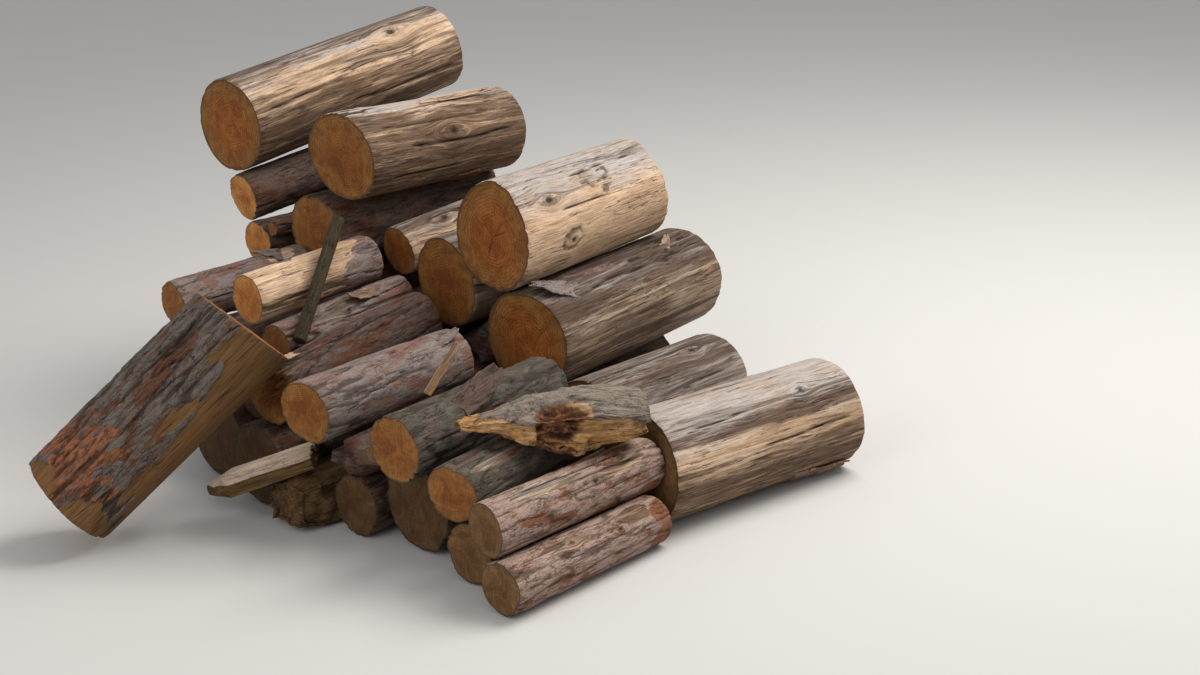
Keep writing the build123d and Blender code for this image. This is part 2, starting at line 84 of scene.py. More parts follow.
# Relief in metres: the swelling, hole and ring of a knot, the length in which a crack closes, the rim and
# floor of a scar, bark's fissures and fallen flakes, the saw's marks, rings and drying splits on an end,
# the length over which an end's rim is rounded and nicked, how far it is worn, and how deep an end's heart
# lies
KNOT_SWELL, KNOT_HOLE, KNOT_RING = 0.0035, 0.0075, 0.0012
CRACK_CLOSES = 0.05
SCAR_RIM, SCAR_FLOOR = 0.0028, 0.0016
FISSURE, FLAKE = 0.0045, 0.0034
SAW_MARK, YEAR_RING, END_SPLIT = 0.00035, 0.0003, 0.0025
ROUNDED, NICKED, EDGE_WEAR, HEART = 0.005, 0.012, 0.0013, 0.002
# A sawn end's ring from one to the next, as an angle
RING_TURN = 6.2832

# The light: how strong the white sky is, where the lamps look, and each lamp's place, side and colour
SKY = 0.56
LAMPS_AIM = Vector((0.0, 0.0, 0.35))
KEY_LAMP = ((1.2, 1.9, 3.4), 2.6, (1.0, 0.96, 0.90))
FILL_LAMP = ((1.0, -3.4, 2.2), 2.4, (1.0, 0.97, 0.93))


def scattered(whole, seed):
    """A random share from 0 to 1 for each whole-number place."""
    x, y, z = (whole[:, k].astype(np.uint64) for k in range(3))
    h = x * np.uint64(73856093) ^ y * np.uint64(19349663) ^ z * np.uint64(83492791)
    h ^= np.uint64(seed * 40503 + 977)
    h = (h ^ (h >> np.uint64(15))) * np.uint64(2246822519) & np.uint64(0xFFFFFFFF)
    h = (h ^ (h >> np.uint64(13))) * np.uint64(3266489917) & np.uint64(0xFFFFFFFF)
    return (h >> np.uint64(8)).astype(float) / float(1 << 24)


def noise(points, scale, seed=0, octaves=1):
    """Smooth random values, mostly between -1 and 1; scale is how many bumps a metre holds each way."""
    total = np.zeros(len(points))
    strength, whole = 1.0, 0.0
    scale = np.array(scale, float)
    for octave in range(octaves):
        p = points * scale + 1000.0
        cell = np.floor(p).astype(np.int64)
        f = p - cell
        f = f * f * (3 - 2 * f)
        value = np.zeros(len(points))
        for corner in range(8):
            step = np.array([corner & 1, corner >> 1 & 1, corner >> 2 & 1])
            weight = np.prod(np.where(step, f, 1 - f), axis=1)
            value += weight * scattered(cell + step, seed + 17 * octave)
        total += strength * (value * 2 - 1)
        whole += strength
        strength *= 0.5
        scale = scale * 2.03
    return total / whole


def ease(value, low, high):
    """0 below low, 1 above high, and a smooth rise between them."""
    t = np.clip((value - low) / (high - low), 0, 1)
    return t * t * (3 - 2 * t)


def columns(*values):
    """Values side by side, a row for each point; a single number counts for every point."""
    return np.stack(np.broadcast_arrays(*values), axis=1)


def read_points(mesh, what="co"):
    values = np.zeros(len(mesh.vertices) * 3)
    mesh.vertices.foreach_get(what, values)
    return values.reshape(-1, 3)


def give_values(mesh, **values):
    """Gives each point of a mesh the values that the materials read."""
    for name, value in values.items():
        attribute = mesh.attributes.new(name, "FLOAT_VECTOR", "POINT")
        attribute.data.foreach_set("vector", np.asarray(value, dtype=np.float32).ravel())


def dimmed(colour, share):
    return tuple(share * c for c in colour)


def turned(angle, other):
    """The turn from one angle to another, the short way round."""
    return np.mod(angle - other + np.pi, 2 * np.pi) - np.pi


def cross_axes(away):
    """The level way and the upward way across a piece's length."""
    right = np.cross(away, [0, 0, 1.0])
    right /= np.linalg.norm(right)
    return right, np.cross(right, away)


class LogForm:
    """A log of the frame: its centre line, its axes and the points of its rims."""

    def __init__(self, node):
        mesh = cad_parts[node].data
        self.verts = read_points(mesh)
        mesh.calc_loop_triangles()
        tris = np.zeros(len(mesh.loop_triangles) * 3, dtype=np.int64)
        mesh.loop_triangles.foreach_get("vertices", tris)
        self.tris = tris.reshape(-1, 3)
        self.find_ends()
        self.away = self.far - self.near
        self.long = float(np.linalg.norm(self.away))
        self.away = self.away / self.long
        self.right, self.up = cross_axes(self.away)
        self.tree = BVHTree.FromPolygons(self.verts.tolist(), self.tris.tolist())

    def find_ends(self):
        """The two flat saw cuts: the largest groups of faces that look the same way."""
        a, b, c = (self.verts[self.tris[:, k]] for k in range(3))
        cross = np.cross(b - a, c - a)
        area = np.linalg.norm(cross, axis=1) / 2
        keep = area > 0
        normal = cross[keep] / (2 * area[keep])[:, None]
        middle = ((a + b + c) / 3)[keep]
        area = area[keep]
        keys, group = np.unique(np.round(normal, 2), axis=0, return_inverse=True)
        totals = np.bincount(group.ravel(), area)
        found = []
        for k in np.argsort(-totals)[:END_GROUPS]:
            way = keys[k] / np.linalg.norm(keys[k])
            same = normal @ way > SAME_WAY
            if not same.any():
                continue
            share = area[same]
            found.append((share.sum(), (normal[same] * share[:, None]).sum(0) / share.sum(),
                          (middle[same] * share[:, None]).sum(0) / share.sum()))
        found.sort(key=lambda entry: -entry[0])
        one = found[0]
        other = next(entry for entry in found if entry[1] @ one[1] < -0.5)
        near, far = (one, other) if one[2][1] < other[2][1] else (other, one)
        self.near, self.near_way = near[2], near[1] / np.linalg.norm(near[1])
        self.far, self.far_way = far[2], far[1] / np.linalg.norm(far[1])

    def rims(self, turns):
        """Points around the near end, the middle and the far end."""
        angles = np.arange(turns) * 2 * np.pi / turns
        rays = np.outer(np.cos(angles), self.right) + np.outer(np.sin(angles), self.up)
        rows = []
        for share in MEASURED_AT:
            start = self.near + self.away * self.long * share
            row = []
            for ray in rays:
                hit = self.tree.ray_cast(Vector(start), Vector(ray))[0]
                if hit is None:
                    raise RuntimeError("a ray from the middle of a log missed its side")
                row.append(list(hit))
            rows.append(np.array(row))
        middle = rows[1]
        ends = []
        for row, centre, way in ((rows[0], self.near, self.near_way), (rows[2], self.far, self.far_way)):
            line = row - middle
            reach = ((centre - middle) @ way) / (line @ way)
            ends.append(middle + line * reach[:, None])
        return ends[0], middle, ends[1]


def own_axes(form, points):
    """Points as right, along and up of the log's near end."""
    q = points - form.near
    return columns(q @ form.right, q @ form.away, q @ form.up)


def to_mesh(name, verts, faces, slots, materials, marks, own, disc, tone):
    """A Blender mesh with the values that its materials read."""
    mesh = bpy.data.meshes.new(name)
    mesh.from_pydata(verts.tolist(), [], faces)
    mesh.polygons.foreach_set("material_index", np.array(slots, dtype=np.int32))
    mesh.polygons.foreach_set("use_smooth", np.ones(len(mesh.polygons), dtype=bool))
    give_values(mesh, marks=marks, own=own, disc=disc, tone=tone)
    for material in materials:
        mesh.materials.append(material)
    mesh.update()
    tidy = bmesh.new()
    tidy.from_mesh(mesh)
    bmesh.ops.recalc_face_normals(tidy, faces=tidy.faces)
    tidy.to_mesh(mesh)
    tidy.free()
    mesh.set_sharp_from_angle(angle=SHARP_ANGLE)
    obj = bpy.data.objects.new(name, mesh)
    bpy.context.scene.collection.objects.link(obj)
    return obj


class Place:
    """Where the points of a log's skin lie: along it, around it, and how far from its middle."""

    def __init__(self, own, angle, radius, long, seed):
        self.own = own
        self.angle = angle
        self.along = own[:, 1]
        self.radius = radius
        self.long = long
        self.seed = seed
        self.offset = np.array([seed * 1.7, seed * 0.9, seed * 1.3])
        self.spread = own + self.offset

    def from_spot(self, along, angle, stretch=1.0):
        """Distance over the bark from a spot given by metres along and degrees around."""
        across = turned(self.angle, math.radians(angle)) * self.radius
        return np.hypot((self.along - along) / stretch, across)

    def bend_grain(self, knots):
        """The grain parts and flows round each knot: the place that a point would have in straight grain."""
        shift = np.zeros(len(self.own))
        for along, angle, size in knots:
            across = turned(self.angle, math.radians(angle)) * self.radius
            near = np.exp(-((self.along - along) / (3.0 * size)) ** 2 - (across / (3.4 * size)) ** 2)
            shift += np.tanh(across / (0.5 * size)) * 1.15 * size * near
        angle = self.angle - shift / self.radius
        line = columns(np.cos(angle) * self.radius, self.along, np.sin(angle) * self.radius)
        return line + self.offset

    def noise(self, across, along, seed, octaves=1):
        """Smooth random values, with so many bumps in a metre across and along the grain."""
        return noise(self.spread, (across, along, across), seed, octaves)

    def weathered(self, spots):
        """How much of something lies at each point, from 0 to 1."""
        share = np.zeros(len(self.own))
        for angle, wide, amount in spots:
            gap = np.degrees(turned(self.angle, math.radians(angle)))
            share += amount * np.exp(-(gap / wide) ** 2)
        return np.clip(share + 0.25 * self.noise(8, 3, 19, 2), 0, 1)


def knot_relief(place, spots):
    """Rings swollen round each knot, with its dark sunken middle."""
    depth, dark = np.zeros((2, len(place.own)))
    for along, angle, size in spots:
        gap = place.from_spot(along, angle, 1.35) + 0.15 * size * place.noise(60, 60, 3)
        depth -= KNOT_SWELL * np.exp(-(gap / size / 1.15) ** 2)
        depth += KNOT_HOLE * np.exp(-(gap / size / 0.42) ** 2)
        dark = np.maximum(dark, np.exp(-(gap / size / 0.62) ** 2))
        ring = np.exp(-((gap - size * 0.95) / (size * 0.16)) ** 2)
        depth += KNOT_RING * ring
        dark = np.maximum(dark, 0.45 * ring)
    return depth, dark


def crack_relief(place, cracks):
    """Drying cracks that run along the grain: each wanders a little and closes at both ends."""
    depth, dark = np.zeros((2, len(place.own)))
    for k, (start, end, angle, wide, deep) in enumerate(cracks):
        line = columns(place.along * 9 + k * 7.3, 0.0, 0.0)
        wander = math.radians(angle) + 0.05 * noise(line, (1, 1, 1), place.seed + k)
        gap = np.abs(turned(place.angle, wander)) * place.radius
        open_here = ease(place.along, start, start + CRACK_CLOSES)
        open_here *= 1 - ease(place.along, end - CRACK_CLOSES, end)
        wide_here = wide * (0.35 + 0.65 * open_here)
        groove = np.exp(-(gap / wide_here) ** 2) * open_here
        depth += deep * groove
        # The groove is also marked dark, which paints shade inside the crack
        dark = np.maximum(dark, groove)
    return depth, dark


def weathering(place, look, layer=0.0):
    """Greyed share of the skin, its dark share (dark weathering streaks, and painted shade on the
    undersides), and which layer of bark lies bare.
    """
    return columns(place.weathered(look.get("grey", ())), place.weathered(look.get("dirt", ())), layer)


def bare_skin(place, look):
    """Debarked wood: long shallow dents, grain ridges, knots, drying cracks and flakes of inner bark."""
    grain = place.bend_grain(look.get("knots", ()))
    depth = 0.0016 + 0.0015 * place.noise(9, 3, 1, 2)
    depth += 0.0007 * noise(grain, (70, 5, 70), 2, 2)
    knot_deep, knot_dark = knot_relief(place, look.get("knots", ()))
    crack_deep, crack_dark = crack_relief(place, look.get("cracks", ()))
    stain = np.clip(ease(place.noise(14, 5, 8, 3), 0.25, 0.55) * look.get("stain", 0.25), 0, 1)
    for along, angle, size, stretch in look.get("scars", ()):
        gap = place.from_spot(along, angle, stretch) / size + 0.7 * place.noise(60, 34, 16, 3)
        broken = ease(place.noise(110, 60, 18, 2), -0.25, 0.15)
        rim = np.exp(-((gap - 0.9) / 0.15) ** 2) * broken
        inside = 1 - ease(gap, 0.7, 0.95)
        depth += SCAR_RIM * rim - SCAR_FLOOR * inside
        # The scar's sunken rim is marked dark as painted shade in the groove; its broken floor is darker too
        crack_dark = np.maximum(crack_dark, 0.7 * rim + 0.25 * inside * broken)
    dark = np.maximum(knot_dark, crack_dark)
    return depth + knot_deep + crack_deep, dark, np.ones(len(depth)), stain, weathering(place, look)


def bark_skin(place, look):
    """Bark: long winding fissures, and thin layers that have flaked off down to redder ones."""
    rough = look.get("rough", 1.0)
    fine = look.get("fine", 1.0)
    waves = columns(*(place.noise(16, 8, k, 2) for k in (4, 5, 6)))
    bent = place.spread + waves * np.array([0.008, 0.03, 0.008])
    valley = np.abs(noise(bent, np.array([22, 3.4, 22]) * fine, 11, 3))
    crack = 1 - ease(valley, 0.02, 0.1)
    scales = noise(bent, np.array([34, 15, 34]) * fine, 7, 3) * 3.0 + 1.7
    whole = np.floor(scales)
    layer = np.clip(whole + ease(scales - whole, 0.8, 1.0), 0, 3) / 3
    depth = rough * (FISSURE * crack + FLAKE * (1 - layer) + 0.0002)
    depth += 0.0008 * rough * place.noise(150, 70, 9, 2)
    depth += 0.0012 * place.noise(9, 4, 1, 2)
    # The fissures are marked dark: painted shade in their depths
    dark = 0.6 * crack
    bare = np.zeros(len(depth))
    stain = ease(place.noise(16, 9, 12, 3), 0.12, 0.4) * look.get("stain", 0.5)
    for along, angle, size, stretch in look.get("bare", ()):
        gap = place.from_spot(along, angle, stretch) / size
        gap += 0.75 * place.noise(40, 9, 14, 3)
        bare = np.maximum(bare, 1 - ease(gap, 0.92, 1.0))
    for along, angle, size, stretch in look.get("red", ()):
        gap = place.from_spot(along, angle, stretch) / size + 1.7 * place.noise(75, 42, 15, 3)
        stain = np.maximum(stain, 1 - ease(gap, 0.75, 1.0))
    step = look.get("step", 0.004)
    wood = 0.0005 * place.noise(80, 6, 2, 2)
    depth = depth * (1 - bare) + (step + wood) * bare
    knot_deep, knot_dark = knot_relief(place, look.get("knots", ()))
    crack_deep, crack_dark = crack_relief(place, look.get("cracks", ()))
    dark = np.maximum(np.maximum(dark * (1 - bare), knot_dark), crack_dark)
    tone = weathering(place, look, layer)
    return depth + knot_deep + crack_deep, dark, bare, stain * (1 - bare), tone


def cut_relief(angles, share, radius, seed, look):
    """How far an end lies inside its flat cut, at a share of the way from its middle to its rim."""
    x, z = np.cos(angles) * share * radius, np.sin(angles) * share * radius
    flat = columns(x + seed, 0.0, z + seed * 0.7)
    deep = 0.0007 + 0.0005 * noise(flat, (30, 1, 30), 21, 2)
    tilt = seed * 0.83
    lines = columns(x * math.cos(tilt) + z * math.sin(tilt), 0.0, 0.0)
    deep += SAW_MARK * noise(lines, (420, 1, 1), 22)
    ring = columns(share * radius + 0.004 * noise(flat, (25, 1, 25), 23), 0.0, 0.0)
    deep += YEAR_RING * noise(ring, (300, 1, 1), 24)
    for way, reach in look.get("splits", ()):
        wander = math.radians(way) + 0.08 * noise(flat, (40, 1, 40), 25)
        gap = np.abs(turned(angles, wander)) * share * radius
        deep += END_SPLIT * np.exp(-(gap / 0.0016) ** 2) * (1 - ease(share, reach - 0.2, reach))
    broken = look.get("broken")
    if broken:
        shards = 0.5 + 0.5 * noise(flat, (45, 1, 45), 26, 3)
        steps = np.abs(noise(flat, (130, 1, 130), 27, 2))
        side = ease(np.cos(angles - math.radians(broken[1])) * share, broken[2], broken[2] + 0.5)
        deep += broken[0] * side * np.clip(0.25 + 0.6 * shards + 0.7 * steps, 0, 1.2)
    return deep


def ring_faces(outer, inner):
    """The faces between two rings of as many points."""
    return np.stack([outer, np.roll(outer, -1), np.roll(inner, -1), inner], axis=1).tolist()


def side_rows(rims, cuts, long, steps):
    """Rows of points along a log's side between its two cuts, and the share of the length that each has."""
    near, middle, far = rims
    edge = np.array(EDGE_STEPS) / long
    shares = np.concatenate([edge, np.linspace(ROWS_FROM, ROWS_TO, steps), 1 - edge[::-1]])
    rows = []
    for share in shares:
        local = cuts[0] / long + share * (1 - (cuts[0] + cuts[1]) / long)
        first = near * (1 - 2 * local)[:, None] + middle * (2 * local)[:, None]
        last = middle * (2 - 2 * local)[:, None] + far * (2 * local - 1)[:, None]
        rows.append(np.where((local < 0.5)[:, None], first, last))
    return np.concatenate(rows), shares


def end_rings(angles, rim, centre, way, mean, seed, look, rings):
    """Rings of points across an end, from its rim to its middle, with their marks and places on the disc."""
    verts, marks, disc = [], [], []
    for ring in range(1, rings):
        share = 1 - ring / rings
        deep = cut_relief(angles, share, mean, seed, look)
        verts.append(centre + (rim - centre) * share - way * deep[:, None])
        # Each drying split is marked dark: painted shade inside the split
        split = np.zeros(len(angles))
        for turn, reach in look.get("splits", ()):
            gap = np.abs(turned(angles, math.radians(turn))) * share * mean
            line = 0.55 * np.exp(-(gap / 0.0015) ** 2)
            split = np.maximum(split, line * (1 - ease(share, reach - 0.3, reach)))
        marks.append(columns(split, 1.0, 0.0))
        disc.append(columns(np.cos(angles) * share, np.sin(angles) * share, mean))
    verts.append((centre - way * HEART)[None, :])
    marks.append(np.array([[0.4, 1, 0]]))
    disc.append(np.array([[0, 0, mean]]))
    return verts, marks, disc


def dress_log(node, look, kit, detail):
    """The skin of one log, made over its solid and put in its place."""
    form = LogForm(node)
    turns, steps, rings = look.get("detail", detail)
    seed = look["seed"]
    rims = form.rims(turns)
    angles = np.arange(turns) * 2 * np.pi / turns
    mean = float(np.mean(np.linalg.norm(rims[1] - rims[1].mean(0), axis=1)))
    settings = (look.get("near", {}), look.get("far", {}))
    cuts = [cut_relief(angles, 1.0, mean, seed + 3 * end, settings[end]) for end in (0, 1)]
    points, shares = side_rows(rims, cuts, form.long, steps)
    own = own_axes(form, points)
    out = points - (form.near + np.outer(own[:, 1], form.away))
    radius = np.linalg.norm(out, axis=1)
    out = out / radius[:, None]
    place = Place(own, np.tile(angles, len(shares)), radius, form.long, seed)
    skin = bare_skin if look["skin"] == "bare" else bark_skin
    depth, dark, bare, stain, tone = skin(place, look)
    from_end = np.repeat(np.minimum(shares, 1 - shares), turns) * form.long
    depth = np.maximum(depth, 0.0) + EDGE_WEAR * (1 - ease(from_end, 0.0, ROUNDED))
    nick = np.clip(place.noise(70, 70, 17, 2), 0, 1) * (1 - ease(from_end, 0.0, NICKED))
    depth += look.get("nicks", 0.004) * nick
    points = points - out * depth[:, None]
    if "flare" in look:
        points, dark, bare = flare(place, points, out, dark, bare, look["flare"])
    straight = place.bend_grain(look.get("knots", ()))
    verts = [points]
    marks = [columns(dark, bare, stain)]
    disc = [columns(np.cos(place.angle), np.sin(place.angle), mean)]
    circle = np.arange(turns)
    faces = []
    for row in range(len(shares) - 1):
        faces += ring_faces(circle + row * turns, circle + (row + 1) * turns)
    slots = [0] * len(faces)
    count = len(points)
    last_row = (len(shares) - 1) * turns
    for end, first, centre, way in ((0, 0, form.near, form.near_way), (1, last_row, form.far, form.far_way)):
        outer = circle + first
        rim = points[outer] + way * cuts[end][:, None]
        found = end_rings(angles, rim, centre, way, mean, seed + 3 * end, settings[end], rings)
        for values, more in zip((verts, marks, disc), found):
            values.extend(more)
        for _ in range(rings - 1):
            inner = circle + count
            faces += ring_faces(outer, inner)
            outer = inner
            count += turns
        faces += [(a, b, count) for a, b in zip(outer.tolist(), np.roll(outer, -1).tolist())]
        count += 1
    slots += [1] * (len(faces) - len(slots))
    verts = np.concatenate(verts)
    own = own_axes(form, verts) + place.offset
    own[:len(straight)] = straight
    tones = np.zeros((len(verts), 3))
    tones[:len(tone)] = tone
    obj = to_mesh(node + "_skin", verts, faces, slots, [kit.side(look), kit.end(look)],
                  np.concatenate(marks), own, np.concatenate(disc), tones)
    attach(obj, "root")
    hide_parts(node)


def flare(place, points, out, dark, bare, spots):
    """Splinters torn up from the wood beside an end."""
    for along, angle, size, lift in spots:
        gap = place.from_spot(along, angle, 2.2) / size
        shard = np.clip(place.noise(160, 18, 31, 2) + 0.25, 0, 1)
        rise = lift * shard * (1 - ease(gap, 0.5, 1.0))
        points = points + out * rise[:, None]
        bare = np.maximum(bare, 1 - ease(gap, 0.8, 1.1))
        # The wood left low between the lifted splinters is marked dark: painted shade between them
        dark = np.maximum(dark, 0.8 * (1 - ease(gap, 0.6, 1.0)) * (shard < 0.12))
    return points, dark, bare


def torn_flap(name, flap, kit):
    """A scrap of bark or wood that hangs on by one end and curls up at the other."""
    form = LogForm(flap["node"])
    along_steps, across_steps = SCRAP
    u, v = np.meshgrid(np.linspace(0, 1, along_steps), np.linspace(-1, 1, across_steps), indexing="ij")
    u, v = u.ravel(), v.ravel()
    seed = flap["seed"]
    ragged = noise(columns(u, v * 0.3, 0.0), (7, 3, 1), seed, 3)
    half = flap["wide"] / 2 * (1.0 - 0.75 * u ** 3) * (1 + flap.get("ragged", 0.5) * ragged)
    down = (u - 0.5) * flap["long"] * (1 + 0.16 * noise(columns(v, 0.0, 0.0), (2.6, 1, 1), seed + 1, 2))
    turn = math.radians(flap.get("turn", 0.0))
    along = flap["along"] + down * math.cos(turn) - v * half * math.sin(turn)
    across = down * math.sin(turn) + v * half * math.cos(turn)
    radius = 0.0
    points = []
    for a, c in zip(along, across):
        start = form.near + form.away * a
        if radius == 0.0:
            middle = math.radians(flap["angle"])
            ray = form.right * math.cos(middle) + form.up * math.sin(middle)
            radius = (form.tree.ray_cast(Vector(start), Vector(ray))[0] - Vector(start)).length
        angle = math.radians(flap["angle"]) + c / radius
        points.append(start + (form.right * math.cos(angle) + form.up * math.sin(angle)) * radius)
    points = np.array(points)
    own = own_axes(form, points)
    out = points - (form.near + np.outer(own[:, 1], form.away))
    out /= np.linalg.norm(out, axis=1)[:, None]
    rise = -0.003 + flap["lift"] * u ** flap.get("bend", 1.6) + 0.004 * v ** 2
    rise += 0.0025 * noise(own, (60, 25, 60), seed + 2, 3) * u
    points = points + out * rise[:, None]
    starts = [i * across_steps + j for i in range(along_steps - 1) for j in range(across_steps - 1)]
    faces = [(k, k + across_steps, k + across_steps + 1, k + 1) for k in starts]
    marks = columns(u * 0, flap.get("bare", 0.0), 0.2)
    tone = columns(u * 0 + 0.3, 0.3, flap.get("layer", 0.8))
    obj = to_mesh(name, points, faces, [0] * len(faces), [kit.side(flap)], marks, own + seed, own, tone)
    thick = obj.modifiers.new("thickness", "SOLIDIFY")
    thick.thickness = flap.get("thick", 0.003)
    thick.offset = 0.0
    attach(obj, "root")


class Nodes:
    """A material's nodes, put in and linked by short calls."""

    def __init__(self, name):
        self.material = bpy.data.materials.new(name)
        self.material.use_nodes = True
        self.tree = self.material.node_tree
        self.tree.nodes.clear()
        output = self.tree.nodes.new("ShaderNodeOutputMaterial")
        self.shader = self.tree.nodes.new("ShaderNodeBsdfPrincipled")
        self.tree.links.new(self.shader.outputs[0], output.inputs[0])

    def set(self, socket, value):
        """Links a socket, or gives it a number or colour."""
        if isinstance(value, bpy.types.NodeSocket):
            self.tree.links.new(value, socket)
        elif isinstance(value, (tuple, list)) and socket.type == "RGBA":
            socket.default_value = (*value[:3], 1.0)
        else:
            socket.default_value = value

    def add(self, kind, *values, **settings):
        """A new node with its settings and the values of its first inputs; None leaves an input alone."""
        node = self.tree.nodes.new("ShaderNode" + kind)
        for name, setting in settings.items():
            setattr(node, name, setting)
        for socket, value in zip(node.inputs, values):
            if value is not None:
                self.set(socket, value)
        return node

    def value(self, name):
        """One of the values that each point of the mesh has."""
        return self.add("Attribute", attribute_name=name).outputs["Vector"]

    def parts(self, vector):
        return tuple(self.add("SeparateXYZ", vector).outputs)

    def scaled(self, vector, scale, turn=0.0):
        return self.add("Mapping", vector, None, (0, turn, 0), scale).outputs[0]

    def noise(self, vector, scale, detail=4.0, rough=0.55, twist=0.0, turn=0.0):
        """Cloudy values round 0.5; scale is how many clouds a metre holds each way."""
        node = self.add("TexNoise", self.scaled(vector, scale, turn))
        for name, value in (("Scale", 1.0), ("Detail", detail), ("Roughness", rough), ("Distortion", twist)):
            node.inputs[name].default_value = value
        return node.outputs[0]

    def ramp(self, value, stops):
        node = self.add("ValToRGB", value)
        row = node.color_ramp.elements
        while len(row) < len(stops):
            row.new(0.5)
        for element, (spot, colour) in zip(row, stops):
            element.position = spot
            if isinstance(colour, (int, float)):
                colour = (colour, colour, colour)
            element.color = (*colour[:3], 1.0)
        return node.outputs[0]

    def mix(self, share, first, second, way="MIX"):
        node = self.add("Mix", share, data_type="RGBA", blend_type=way)
        self.set(node.inputs[6], first)
        self.set(node.inputs[7], second)
        return node.outputs[2]

    def cover(self, colour, other, cause, *stops, way="MIX"):
        """A colour covered by another where a cause has the values that the stops give a share."""
        return self.mix(self.ramp(cause, stops), colour, other, way)

    def maths(self, way, first, second=0.0):
        return self.add("Math", first, second, operation=way).outputs[0]

    def minus(self, first, second):
        return self.maths("SUBTRACT", first, second)

    def times(self, first, second):
        return self.maths("MULTIPLY", first, second)

    def weigh(self, *terms):
        """The sum of some values, each times its weight."""
        total = None
        for value, weight in terms:
            part = value if weight == 1 else self.times(value, weight)
            total = part if total is None else self.maths("ADD", total, part)
        return total

    def nudge(self, value, cause, share):
        """A value, moved by a share of how far another is from 0.5."""
        return self.weigh((value, 1), (self.minus(cause, 0.5), share))

    def lines(self, value, wide):
        """Thin lines where a cloudy value passes 0.5."""
        return self.ramp(self.maths("ABSOLUTE", self.minus(value, 0.5)), [(0.0, 1.0), (wide, 0.0)])

    def bump(self, height, strength, distance):
        node = self.add("Bump", strength, distance)
        self.set(node.inputs["Height"], height)
        return node.outputs[0]

    def finish(self, colour, normal, rough):
        self.set(self.shader.inputs["Base Color"], colour)
        self.set(self.shader.inputs["Normal"], normal)
        self.set(self.shader.inputs["Roughness"], rough)
        self.shader.inputs["Specular IOR Level"].default_value = 0.25
        return self.material


def wood_colour(n, own, tones, grey_share, dirt_and_shade_share):
    """Weathered bare wood: pale streaks, dark brush-like weathering, grey film and fine drying cracks; the
    dark brush is thicker where the skin's dark share is high, partly as painted shade on the undersides.
    """
    pale, warm, grey, deep = tones
    streak = n.noise(own, (80, 4.5, 80), 6, 0.62, 0.6)
    fine = n.noise(own, (430, 20, 430), 4, 0.62)
    broad = n.noise(own, (58, 3.6, 58), 9, 0.68, 0.7)
    patch = n.noise(own, (12, 4.5, 12), 6, 0.62, 0.8)
    colour = n.ramp(streak, [(0.3, warm), (0.46, pale), (0.58, pale), (0.72, warm)])
    colour = n.cover(colour, warm, patch, (0.4, 0.65), (0.6, 0.0))
    film = n.weigh((grey_share, 0.26), (streak, 0.5), (patch, 0.5))
    colour = n.cover(colour, grey, film, (0.58, 0.0), (0.76, 0.9))
    # Where the skin's dark share is high the dark brush and the scratches are thicker: real dark streaks,
    # and painted shade on the undersides
    brush = n.weigh((broad, 0.68), (fine, 0.32), (dirt_and_shade_share, 0.15))
    colour = n.cover(colour, deep, brush, (0.55, 0.0), (0.6, 0.6), (0.68, 0.93))
    colour = n.cover(colour, deep, fine, (0.3, 0.55), (0.6, 0.0), way="MULTIPLY")
    scratch = n.noise(own, (190, 15, 190), 7, 0.72, 0.5)
    scratch = n.weigh((scratch, 1), (dirt_and_shade_share, 0.085))
    colour = n.cover(colour, dimmed(deep, 0.55), scratch, (0.6, 0.0), (0.66, 0.85))
    line = n.noise(own, (50, 2.4, 50), 4, 0.55, 1.2)
    crack = n.lines(line, 0.011)
    crack = n.times(crack, n.ramp(n.noise(own, (16, 6, 16), 2), [(0.45, 0.0), (0.55, 1.0)]))
    # The crack lines are drawn dark: painted shade inside the fine cracks
    colour = n.mix(crack, colour, dimmed(deep, 0.3))
    specks = n.noise(own, (330, 120, 330), 3, 0.7)
    colour = n.cover(colour, deep, specks, (0.62, 0.0), (0.7, 0.7))
    return colour, n.weigh((streak, 0.7), (fine, 0.35), (crack, -0.9))


def bark_colour(n, own, tones, fine, layer):
    """Bark: its flakes, streaks and fissures, with redder layers where it has flaked."""
    dark, mid, light, warm = tones
    streak = n.noise(own, (100, 12, 100), 7, 0.66, 0.9)
    flake = n.noise(own, (75 * fine, 26 * fine, 75 * fine), 9, 0.74, 1.3)
    patch = n.noise(own, (12, 5, 12), 6, 0.62, 0.8)
    crumbs = n.noise(own, (700, 330, 700), 3, 0.7)
    colour = n.ramp(flake, [(0.32, dark), (0.44, mid), (0.54, light), (0.62, mid), (0.74, dark)])
    colour = n.cover(colour, light, streak, (0.44, 0.0), (0.6, 0.75))
    colour = n.cover(colour, dark, streak, (0.3, 0.8), (0.45, 0.0))
    inner = n.nudge(layer, flake, 1.6)
    inner = n.nudge(inner, patch, 2.0)
    colour = n.cover(colour, warm, inner, (0.1, 0.85), (0.34, 0.0))
    line = n.noise(own, (60 * fine, 9 * fine, 60 * fine), 5, 0.62, 1.6)
    fissure = n.lines(line, 0.02)
    breaks = n.noise(own, (34, 15, 34), 2)
    fissure = n.times(fissure, n.ramp(breaks, [(0.42, 0.0), (0.54, 0.95)]))
    # The fissure lines are drawn dark: painted shade in the fissures
    colour = n.mix(fissure, colour, dimmed(dark, 0.3))
    colour = n.cover(colour, dark, crumbs, (0.3, 0.5), (0.62, 0.0), way="MULTIPLY")
    return colour, n.weigh((flake, 0.7), (crumbs, 0.2), (streak, 0.4), (fissure, -0.6))


